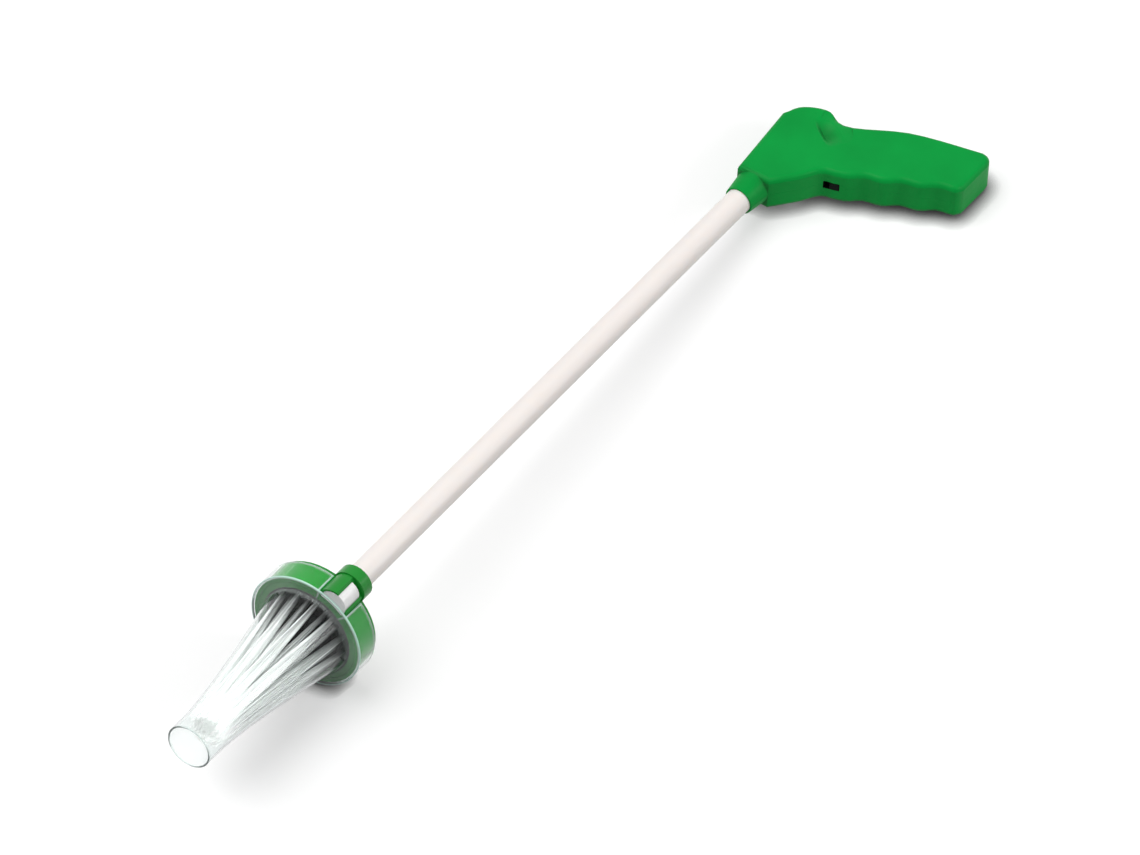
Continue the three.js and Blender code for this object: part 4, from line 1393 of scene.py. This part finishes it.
    def _spring(self, palette: Palette) -> None:
        """Makes the return spring.

        Args:
            palette: The materials.
        """
        spring = Piece("return_spring_coil", Body.HANDLE, Slot.STEEL, ("return_spring",))
        mesh = whole_faces(welded_copy("return_spring"))
        coil = spring.place(mesh, palette, self.sizes.spring_crease)
        self.axes.direction(1.0, 0.0, 0.0)
        self.axes.point(self.sizes.spring_anchor, 0.0, 0.0)
        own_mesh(coil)

    def _screws(self, palette: Palette) -> None:
        """Makes the four housing screws with cross recesses.

        Args:
            palette: The materials.
        """
        s = self.sizes
        head_sides, shank_sides = s.screw_sides
        growth = GrowthTree(
            "Cross-recess screws",
            {
                "Head Radius": "NodeSocketFloat",
                "Head Height": "NodeSocketFloat",
                "Shank Radius": "NodeSocketFloat",
                "Shank Length": "NodeSocketFloat",
                "Recess Size": "NodeSocketVector",
                "Material": "NodeSocketMaterial",
            },
        )
        sizes = growth.inputs
        middle = growth.add("ShaderNodeMath", {0: sizes["Head Height"], 1: 0.5}, operation="MULTIPLY")
        lift = growth.add("ShaderNodeCombineXYZ", {"Z": middle[0]})
        head = growth.add(
            "GeometryNodeMeshCylinder",
            {"Vertices": head_sides, "Radius": sizes["Head Radius"], "Depth": sizes["Head Height"]},
        )
        raised = growth.add("GeometryNodeTransform", {"Geometry": head[0], "Translation": lift[0]})
        cross = growth.add("GeometryNodeMeshCube", {"Size": sizes["Recess Size"]})
        crossed = growth.add(
            "GeometryNodeTransform",
            {
                "Geometry": cross[0],
                "Rotation": (0.0, 0.0, math.pi / 2),
                "Scale": (1.0, 1.0, s.recess_deeper),
            },
        )
        hollow = growth.add(
            "GeometryNodeMeshBoolean", {0: raised[0], 1: [cross[0], crossed[0]]}, operation="DIFFERENCE"
        )
        far = growth.add("ShaderNodeMath", {0: sizes["Shank Length"], 1: 0.5}, operation="MULTIPLY")
        deep = growth.add("ShaderNodeMath", {0: far[0], 1: sizes["Head Height"]}, operation="ADD")
        reach = growth.add("ShaderNodeCombineXYZ", {"Z": deep[0]})
        shank = growth.add(
            "GeometryNodeMeshCylinder",
            {"Vertices": shank_sides, "Radius": sizes["Shank Radius"], "Depth": sizes["Shank Length"]},
        )
        lowered = growth.add("GeometryNodeTransform", {"Geometry": shank[0], "Translation": reach[0]})
        screw = growth.add("GeometryNodeJoinGeometry", {0: [hollow[0], lowered[0]]})
        placed = growth.add(
            "GeometryNodeInstanceOnPoints", {"Points": sizes["Geometry"], "Instance": screw[0]}
        )
        growth.end(placed[0])
        spots = bpy.data.meshes.new("screw_spots")
        spots.from_pydata([(x, y, s.screw_bottom) for x, y in s.screws], [], [])
        mesh = growth.grow(
            spots,
            {
                "Head Radius": s.screw_head_radius,
                "Head Height": s.screw_head_height,
                "Shank Radius": s.screw_shank_radius,
                "Shank Length": s.screw_length,
                "Recess Size": (s.recess_length, s.recess_width, 2 * s.recess_depth),
                "Material": palette[Slot.STEEL],
            },
        )
        mesh = outward(cleaned(mesh, SLIVER))
        mesh.transform(self.axes.matrix)
        Piece("housing_screws", Body.HANDLE, Slot.STEEL, self.SCREWS).place(mesh, palette)


class Tube:
    """The extruded tube with the pull rod and its guides."""

    GUIDES = ("rod_guide_1", "rod_guide_2", "rod_guide_3")

    def __init__(self, sizes: TubeSizes, axes: Axes) -> None:
        """Takes the tube's sizes and the tool's axes."""
        self.sizes = sizes
        self.axes = axes

    def build(self, palette: Palette) -> None:
        """Builds the tube.

        Args:
            palette: The materials.
        """
        s = self.sizes
        bore = s.radius - s.wall
        corners = ((s.back, s.radius), (s.front, s.radius), (s.front, bore), (s.back, bore))
        mesh = turned(corners, s.sides)
        mesh.transform(self.axes.matrix)
        piece = Piece("tube_skin", Body.HANDLE, Slot.TUBE_WHITE, ("tube",)).place(mesh, palette)
        round_edges(piece, s.edge)
        keep_nodes(("pull_rod",), palette[Slot.STEEL])
        keep_nodes(self.GUIDES, palette[Slot.WHITE])


class Head:
    """The drum with its ring, bearing and dome, and the carrier on the rod.

    Attributes:
        MOULDED: For each moulding its node, body and slot, and the width of its broken edges.
        STEEL: The nodes that are shown as they are.
    """

    MOULDED = (
        ("head_drum", Body.HANDLE, Slot.HEAD_GREEN, 0.35),
        ("front_ring", Body.HANDLE, Slot.HEAD_GREEN, 0.4),
        ("slide_bearing", Body.HANDLE, Slot.WHITE, 0.2),
        ("spreader_dome", Body.HANDLE, Slot.BLACK, 0.3),
        ("bristle_carrier", Body.ROD, Slot.BLACK, 0.2),
    )
    STEEL = ("spreader_screw", "guide_pin_1", "guide_pin_2", "rod_nut_rear", "rod_nut_front")

    def build(self, palette: Palette) -> None:
        """Builds the head.

        Args:
            palette: The materials.
        """
        for node, body, slot, edge in self.MOULDED:
            piece = Piece(f"{node}_moulding", body, slot, (node,))
            round_edges(piece.place(whole_faces(welded_copy(node)), palette), edge)
        keep_nodes(self.STEEL, palette[Slot.STEEL])


class Brush:
    """The ring of bristle tufts, in four quarters that ride on the rod."""

    def __init__(self, sizes: BrushSizes, axes: Axes) -> None:
        """Takes the brush's sizes and the head's axes."""
        self.sizes = sizes
        self.axes = axes

    def build(self, palette: Palette) -> None:
        """Builds the brush.

        Args:
            palette: The materials.
        """
        growth = self._tree()
        s = self.sizes
        for quarter in range(s.quarters):
            mesh = growth.grow(
                self._guides(quarter),
                {
                    "Strands": s.strands,
                    "Locks": s.locks,
                    "Root Radius": s.root_radius,
                    "Tip Radius": s.tip_radius,
                    "Wander": s.wander,
                    "Uneven": s.uneven,
                    "Seed": s.seed + quarter,
                    "Material": palette[Slot.NYLON],
                },
            )
            mesh = self._with_backing(mesh, quarter)
            mesh.transform(self.axes.matrix)
            node = f"bristles_{quarter + 1}"
            Piece(f"{node}_strands", Body.ROD, Slot.NYLON, (node,)).place(mesh, palette, s.crease)

    def _guides(self, quarter: int) -> bpy.types.Mesh:
        """Draws each tuft's middle line, with the ways that its strands spread.

        Args:
            quarter: The quarter's number.

        Returns:
            Lines in millimetres, with the spread across and outwards on their points, and whether they
            lie in the inner row.
        """
        s = self.sizes
        span = 360 / s.quarters
        points: list[Vector] = []
        lines: list[tuple[int, int]] = []
        across: list[Vector] = []
        outwards: list[Vector] = []
        inside: list[float] = []
        for degrees, row in s.tufts:
            angle = math.radians(span * quarter + degrees)
            out = Vector((0.0, math.sin(angle), math.cos(angle)))
            side = Vector((0.0, math.cos(angle), -math.sin(angle)))
            stations = s.outer_row if row is Row.OUTER else s.inner_row
            for step, (along, outer, depth, spread) in enumerate(stations):
                middle = outer - depth / 2
                if step:
                    lines.append((len(points) - 1, len(points)))
                points.append(Vector((s.front + along, 0.0, 0.0)) + middle * out)
                across.append(side * middle * math.radians(spread) / 2)
                outwards.append(out * depth / 2)
                inside.append(1.0 if row is Row.INNER else 0.0)
        mesh = bpy.data.meshes.new("tuft_lines")
        mesh.from_pydata(points, lines, [])
        for name, ways in (("across", across), ("outwards", outwards)):
            spread = mesh.attributes.new(name, "FLOAT_VECTOR", "POINT")
            spread.data.foreach_set("vector", [c for way in ways for c in way])
        mesh.attributes.new("inside", "FLOAT", "POINT").data.foreach_set("value", inside)
        return mesh

    def _tree(self) -> GrowthTree:
        """Builds the tree that grows strands along a tuft's line.

        Returns:
            The tree.
        """
        growth = GrowthTree(
            "Bristle tufts",
            {
                "Strands": "NodeSocketInt",
                "Locks": "NodeSocketInt",
                "Root Radius": "NodeSocketFloat",
                "Tip Radius": "NodeSocketFloat",
                "Wander": "NodeSocketFloat",
                "Uneven": "NodeSocketFloat",
                "Seed": "NodeSocketInt",
                "Material": "NodeSocketMaterial",
            },
        )
        s = self.sizes
        given = growth.inputs
        line = growth.add("GeometryNodeMeshToCurve", {"Mesh": given["Geometry"]})
        smooth = growth.add("GeometryNodeCurveSplineType", {"Curve": line[0]}, spline_type="CATMULL_ROM")
        even = growth.add("GeometryNodeResampleCurve", {"Curve": smooth[0], "Count": s.points})
        many = growth.add(
            "GeometryNodeDuplicateElements",
            {"Geometry": even[0], "Amount": given["Strands"]},
            domain="SPLINE",
        )
        strand = growth.add("GeometryNodeCurveOfPoint")
        chance = growth.add(
            "FunctionNodeRandomValue",
            {0: (-1.0, -1.0, -1.0), 1: (1.0, 1.0, 1.0), "ID": strand[0], "Seed": given["Seed"]},
            data_type="FLOAT_VECTOR",
        )
        parts = growth.add("ShaderNodeSeparateXYZ", {0: chance[0]})
        shifts = []
        for name, part in (("across", parts[0]), ("outwards", parts[1])):
            way = growth.add("GeometryNodeInputNamedAttribute", {"Name": name}, data_type="FLOAT_VECTOR")
            scaled = growth.add("ShaderNodeVectorMath", {0: way[0], "Scale": part}, operation="SCALE")
            shifts.append(scaled[0])
        spread = growth.add("ShaderNodeVectorMath", {0: shifts[0], 1: shifts[1]}, operation="ADD")
        along = growth.add("GeometryNodeSplineParameter")
        place = growth.add("GeometryNodeInputPosition")
        own = growth.add("ShaderNodeVectorMath", {0: chance[0], "Scale": s.apart}, operation="SCALE")
        apart = growth.add("ShaderNodeVectorMath", {0: place[0], 1: own[0]}, operation="ADD")
        waves = growth.add("ShaderNodeTexNoise", {"Vector": apart[0], "Scale": s.waves, "Detail": 0.0})
        centred = growth.add(
            "ShaderNodeVectorMath", {0: waves[1], 1: (0.5, 0.5, 0.5)}, operation="SUBTRACT"
        )
        loose = growth.add("ShaderNodeMath", {0: along[0], 1: given["Wander"]}, operation="MULTIPLY")
        sway = growth.add("ShaderNodeVectorMath", {0: centred[0], "Scale": loose[0]}, operation="SCALE")
        shift = growth.add("ShaderNodeVectorMath", {0: spread[0], 1: sway[0]}, operation="ADD")
        placed = growth.add("GeometryNodeSetPosition", {"Geometry": many[0], "Offset": shift[0]})
        number = growth.add("GeometryNodeInputIndex")
        short = growth.add(
            "FunctionNodeRandomValue",
            {2: 0.0, 3: given["Uneven"], "ID": number[0], "Seed": given["Seed"]},
        )
        end = growth.add("ShaderNodeMath", {0: 1.0, 1: short[1]}, operation="SUBTRACT")
        trimmed = growth.add("GeometryNodeTrimCurve", {"Curve": placed[0], "End": end[0]})
        cut = growth.add("GeometryNodeResampleCurve", {"Curve": trimmed[0], "Count": s.points})
        marked = growth.add(
            "GeometryNodeStoreNamedAttribute",
            {"Geometry": cut[0], "Name": "along", "Value": along[0]},
            data_type="FLOAT",
            domain="POINT",
        )
        toned = growth.add(
            "GeometryNodeStoreNamedAttribute",
            {"Geometry": marked[0], "Name": "tone", "Value": self._tones(growth, parts[0], strand[0])},
            data_type="FLOAT",
            domain="POINT",
        )
        thick = growth.add(
            "ShaderNodeMapRange", {"Value": along[0], 3: given["Root Radius"], 4: given["Tip Radius"]}
        )
        section = growth.add("GeometryNodeCurvePrimitiveCircle", {"Resolution": s.sides, "Radius": 1.0})
        strands = growth.add(
            "GeometryNodeCurveToMesh",
            {"Curve": toned[0], "Profile Curve": section[0], "Scale": thick[0], "Fill Caps": True},
        )
        growth.end(strands[0])
        return growth

    @staticmethod
    def _tones(
        growth: GrowthTree, across: bpy.types.NodeSocket, strand: bpy.types.NodeSocket
    ) -> bpy.types.NodeSocket:
        """Gives all strands of a lock one tone.

        Args:
            growth: The tree.
            across: The strand's place across its tuft, from -1 to 1.
            strand: The strand's number.

        Returns:
            The tone's socket, from 0 to 1.
        """
        given = growth.inputs
        half = growth.add("ShaderNodeMath", {0: given["Locks"], 1: 0.5}, operation="MULTIPLY")
        lock = growth.add(
            "ShaderNodeMath", {0: across, 1: half[0], 2: half[0]}, operation="MULTIPLY_ADD"
        )
        share = growth.add("ShaderNodeMath", {0: strand, 1: given["Strands"]}, operation="DIVIDE")
        tuft = growth.add("ShaderNodeMath", {0: share[0]}, operation="FLOOR")
        whole = growth.add("ShaderNodeMath", {0: lock[0]}, operation="FLOOR")
        number = growth.add(
            "ShaderNodeMath", {0: tuft[0], 1: given["Locks"], 2: whole[0]}, operation="MULTIPLY_ADD"
        )
        chance = growth.add("FunctionNodeRandomValue", {"ID": number[0], "Seed": given["Seed"]})
        return chance[1]

    def _with_backing(self, strands: bpy.types.Mesh, quarter: int) -> bpy.types.Mesh:
        """Adds the strip that a quarter's tufts stand in.

        Args:
            strands: The quarter's strands, in millimetres.
            quarter: The quarter's number.

        Returns:
            The strands and their strip in one mesh.
        """
        s = self.sizes
        back, front, inner, outer = s.backing
        span = 360 / s.quarters
        first = span * (quarter + 0.5) - s.backing_arc / 2
        corners = ((back, inner), (back, outer), (front, outer), (front, inner))
        skin = bmesh.new()
        skin.from_mesh(strands)
        rows = []
        for step in range(s.backing_steps + 1):
            angle = math.radians(first + s.backing_arc * step / s.backing_steps)
            over, up = math.sin(angle), math.cos(angle)
            rows.append([skin.verts.new((x, r * over, r * up)) for x, r in corners])
        for here, there in zip(rows, rows[1:]):
            join_rows(skin, here, there)
        skin.faces.new(rows[0])
        skin.faces.new(rows[-1][::-1])
        return outward(skin)


class Cover:
    """The clear storage cover."""

    def __init__(self, sizes: CoverSizes, axes: Axes) -> None:
        """Takes the cover's sizes and the head's axes."""
        self.sizes = sizes
        self.axes = axes

    def build(self, palette: Palette) -> None:
        """Builds the cover.

        Args:
            palette: The materials.
        """
        mesh = self._shell()
        mesh.transform(self.axes.matrix)
        piece = Piece("storage_cover_shell", Body.COVER, Slot.CLEAR, ("storage_cover",))
        round_edges(piece.place(mesh, palette), self.sizes.edge, self.sizes.edge_angle)

    def _cone(self) -> list[tuple[float, float]]:
        """Gives the outside of the cone.

        Returns:
            Places along X and radii, from root to tip.
        """
        s = self.sizes
        steps = range(s.rings + 1)
        curve = [s.wall + (s.bell_length - s.wall) * step / s.rings for step in steps]
        points = [(s.flange_back + along, s.radius_at(along)) for along in curve]
        end = s.flange_back + s.bell_length + s.tip_length
        return points + [(end - s.rim, s.tip_radius), (end, s.tip_radius)]

    def _profile(self) -> tuple[list[tuple[float, float, float]], int]:
        """Gives the section of the shell.

        Returns:
            Places along X, radii and painted rim highlights, and the number of the collar's first point.
        """
        s = self.sizes
        outside = self._cone()
        front = s.flange_back + s.wall
        step = s.flange_radius - s.collar_radius - s.wall
        body = [(s.flange_back + step, s.flange_radius, 1.0), (front, s.flange_radius, 1.0)]
        body.append((front, s.flange_radius - s.rim, s.plate_highlight))
        highlight_marks = [s.plate_highlight] + [0.0] * (len(outside) - 2) + [s.tip_highlight]
        cone = [(x, r, mark) for (x, r), mark in zip(outside, highlight_marks, strict=True)]
        body += cone + [(x, r - s.wall, mark) for x, r, mark in reversed(cone)]
        body.append((s.flange_back, s.root_radius - s.wall, s.plate_highlight))
        inner, outer = s.collar_radius, s.collar_radius + s.wall
        collar = [
            (s.flange_back, inner, 0.0),
            (s.collar_back + s.rim, inner, 0.0),
            (s.collar_back, inner, s.collar_highlight),
            (s.collar_back, outer, s.collar_highlight),
            (s.collar_back + s.rim, outer, 0.0),
            (s.flange_back, outer, 0.0),
        ]
        return body + collar, len(body)

    def _shell(self) -> bpy.types.Mesh:
        """Turns the shell, and leaves the collar open where the boss of the tube passes.

        Returns:
            A closed mesh in millimetres, with its rims marked for a painted highlight.
        """
        s = self.sizes
        profile, first = self._profile()
        collar_only = range(first + 1, len(profile) - 1)
        opening = math.radians(s.slot_half_angle)
        gap_steps = round(s.sides * opening / math.pi)
        ring_steps = s.sides - gap_steps
        ring = [opening + 2 * (math.pi - opening) * step / ring_steps for step in range(ring_steps)]
        gap = [-opening + 2 * opening * step / gap_steps for step in range(gap_steps)]
        skin = bmesh.new()
        marks = skin.verts.layers.float.new("rim")
        rows: list[dict[int, bmesh.types.BMVert]] = []
        for step, angle in enumerate(ring + gap):
            row = {}
            for place, (x, r, rim) in enumerate(profile):
                if place in collar_only and step > ring_steps:
                    continue
                row[place] = skin.verts.new((x, r * math.sin(angle), r * math.cos(angle)))
                # The slot's edges get the full painted highlight
                at_slot = step in (0, ring_steps) and place >= first
                row[place][marks] = 1.0 if at_slot else rim
            rows.append(row)
        for step, here in enumerate(rows):
            there = rows[(step + 1) % len(rows)]
            whole = step < ring_steps
            order = [place for place in range(len(profile)) if whole or place not in collar_only]
            join_rows(skin, [here[place] for place in order], [there[place] for place in order])
        for step in (0, ring_steps):
            skin.faces.new([rows[step][place] for place in range(first, len(profile))])
        return outward(skin)


@dataclass(frozen=True)
class Lamp:
    """A soft round light.

    Attributes:
        name: Its name.
        way: The way to it, to the picture's right, to the camera and up.
        distance: How far it hangs from the middle, in metres.
        size: Its diameter in metres.
        power: Its power in watts.
    """

    name: str
    way: tuple[float, float, float]
    distance: float
    size: float
    power: float


class Stage:
    """The paper, the lights, the surroundings and the camera.

    Attributes:
        LAMPS: The lights.
        SURROUND: The strength of the light from all round.
        PAPER: The length of the paper's sides, in metres.
    """

    LAMPS = (
        Lamp("skylight", way=(-0.40, -0.10, 0.92), distance=3.2, size=3.0, power=76.0),
        Lamp("window", way=(0.86, 0.15, 0.48), distance=2.6, size=1.2, power=22.0),
    )
    SURROUND = 0.34
    PAPER = 12.0

    def __init__(self, sizes: CameraSizes, axes: Axes) -> None:
        """Finds the picture's sides in the frame.

        Args:
            sizes: The camera's sizes.
            axes: The tool's axes.
        """
        self.sizes = sizes
        self.axes = axes
        right = axes.direction(*sizes.right)
        toward = axes.direction(*sizes.toward)
        self.toward = toward
        self.right = (right - toward * right.dot(toward)).normalized()
        self.up = toward.cross(self.right)

    def build(self) -> None:
        """Builds the stage."""
        self._paper()
        self._camera()
        for lamp in self.LAMPS:
            self._hang(lamp)
        self._surround()
        bpy.context.scene.view_settings.view_transform = "Standard"

    def _paper(self) -> None:
        """Lays the paper."""
        mesh = bpy.data.meshes.new("paper")
        half = self.PAPER / 2
        mesh.from_pydata(
            [(-half, -half, 0), (half, -half, 0), (half, half, 0), (-half, half, 0)], [], [(0, 1, 2, 3)]
        )
        mesh.materials.append(FLOOR_PAPER.build(self.axes))
        paper = bpy.data.objects.new("paper", mesh)
        bpy.context.scene.collection.objects.link(paper)

    def _camera(self) -> None:
        """Sets the camera so that the tool's origin falls on its pixel."""
        s = self.sizes
        lens = bpy.data.cameras.new("long_lens")
        lens.sensor_width = s.sensor
        lens.lens = s.sensor * s.scale * s.distance / s.picture[0]
        lens.clip_end = 2 * s.distance * MM
        to_right = (s.picture[0] / 2 - s.origin[0]) / s.scale
        to_up = (s.origin[1] - s.picture[1] / 2) / s.scale
        middle = self.axes.point(s.middle, 0.0, 0.0) - self.axes.point(0.0, 0.0, 0.0)
        aim = self.axes.point(0.0, 0.0, 0.0) + MM * (to_right * self.right + to_up * self.up)
        aim += self.toward * middle.dot(self.toward)
        turn = Matrix((self.right, self.up, self.toward)).transposed().to_4x4()
        camera = bpy.data.objects.new("camera", lens)
        camera.matrix_world = Matrix.Translation(aim + s.distance * MM * self.toward) @ turn
        bpy.context.scene.collection.objects.link(camera)
        bpy.context.scene.camera = camera

    def _hang(self, lamp: Lamp) -> None:
        """Hangs a light where the picture's sides put it.

        Args:
            lamp: The light.
        """
        near = Vector((self.toward.x, self.toward.y, 0.0)).normalized()
        side = Vector((self.right.x, self.right.y, 0.0)).normalized()
        to_right, to_near, to_sky = lamp.way
        way = (to_right * side + to_near * near + Vector((0.0, 0.0, to_sky))).normalized()
        data = bpy.data.lights.new(lamp.name, "AREA")
        data.shape = "DISK"
        data.size = lamp.size
        data.energy = lamp.power
        light = bpy.data.objects.new(lamp.name, data)
        light.location = way * lamp.distance
        light.rotation_euler = way.to_track_quat("Z", "Y").to_euler()
        bpy.context.scene.collection.objects.link(light)

    def _surround(self) -> None:
        """Surrounds the scene with soft light, which the camera sees as white."""
        world = bpy.data.worlds.new("surround")
        world.use_nodes = True
        tree = world.node_tree
        tree.nodes.clear()
        strength = add_node(
            tree, "ShaderNodeMapRange", {"Value": seen_rays(tree), 3: self.SURROUND, 4: 1.0}
        )
        light = add_node(tree, "ShaderNodeBackground", {"Color": WHITE, "Strength": strength.outputs[0]})
        add_node(tree, "ShaderNodeOutputWorld", {"Surface": light.outputs[0]})
        bpy.context.scene.world = world


def keep_nodes(nodes: Iterable[str], material: bpy.types.Material) -> None:
    """Gives CAD nodes that are shown as they are their material.

    Args:
        nodes: The nodes.
        material: Their material.
    """
    for node in nodes:
        mesh = frame["nodes"][node].data
        mesh.materials.clear()
        mesh.materials.append(material)


def main() -> None:
    """Builds the spider catcher and its stage."""
    logging.basicConfig(level=logging.INFO, format="%(name)s: %(message)s")
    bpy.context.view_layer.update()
    handle = HandleSizes()
    head = HeadSizes()
    tool_axes = Axes.of_tool(frame["joints"], handle.pivot)
    head_axes = tool_axes.head(head.roll, head.offset)
    palette = Palette(tool_axes)
    steps: tuple[tuple[str, Callable[[], None]], ...] = (
        ("handle", lambda: Handle(handle, tool_axes).build(palette)),
        ("tube", lambda: Tube(TubeSizes(), tool_axes).build(palette)),
        ("head", lambda: Head().build(palette)),
        ("brush", lambda: Brush(BrushSizes(), head_axes).build(palette)),
        ("cover", lambda: Cover(CoverSizes(), head_axes).build(palette)),
        ("stage", lambda: Stage(CameraSizes(), tool_axes).build()),
    )
    for name, build in steps:
        LOG.info("building the %s", name)
        build()


if __name__ == "__main__":
    main()
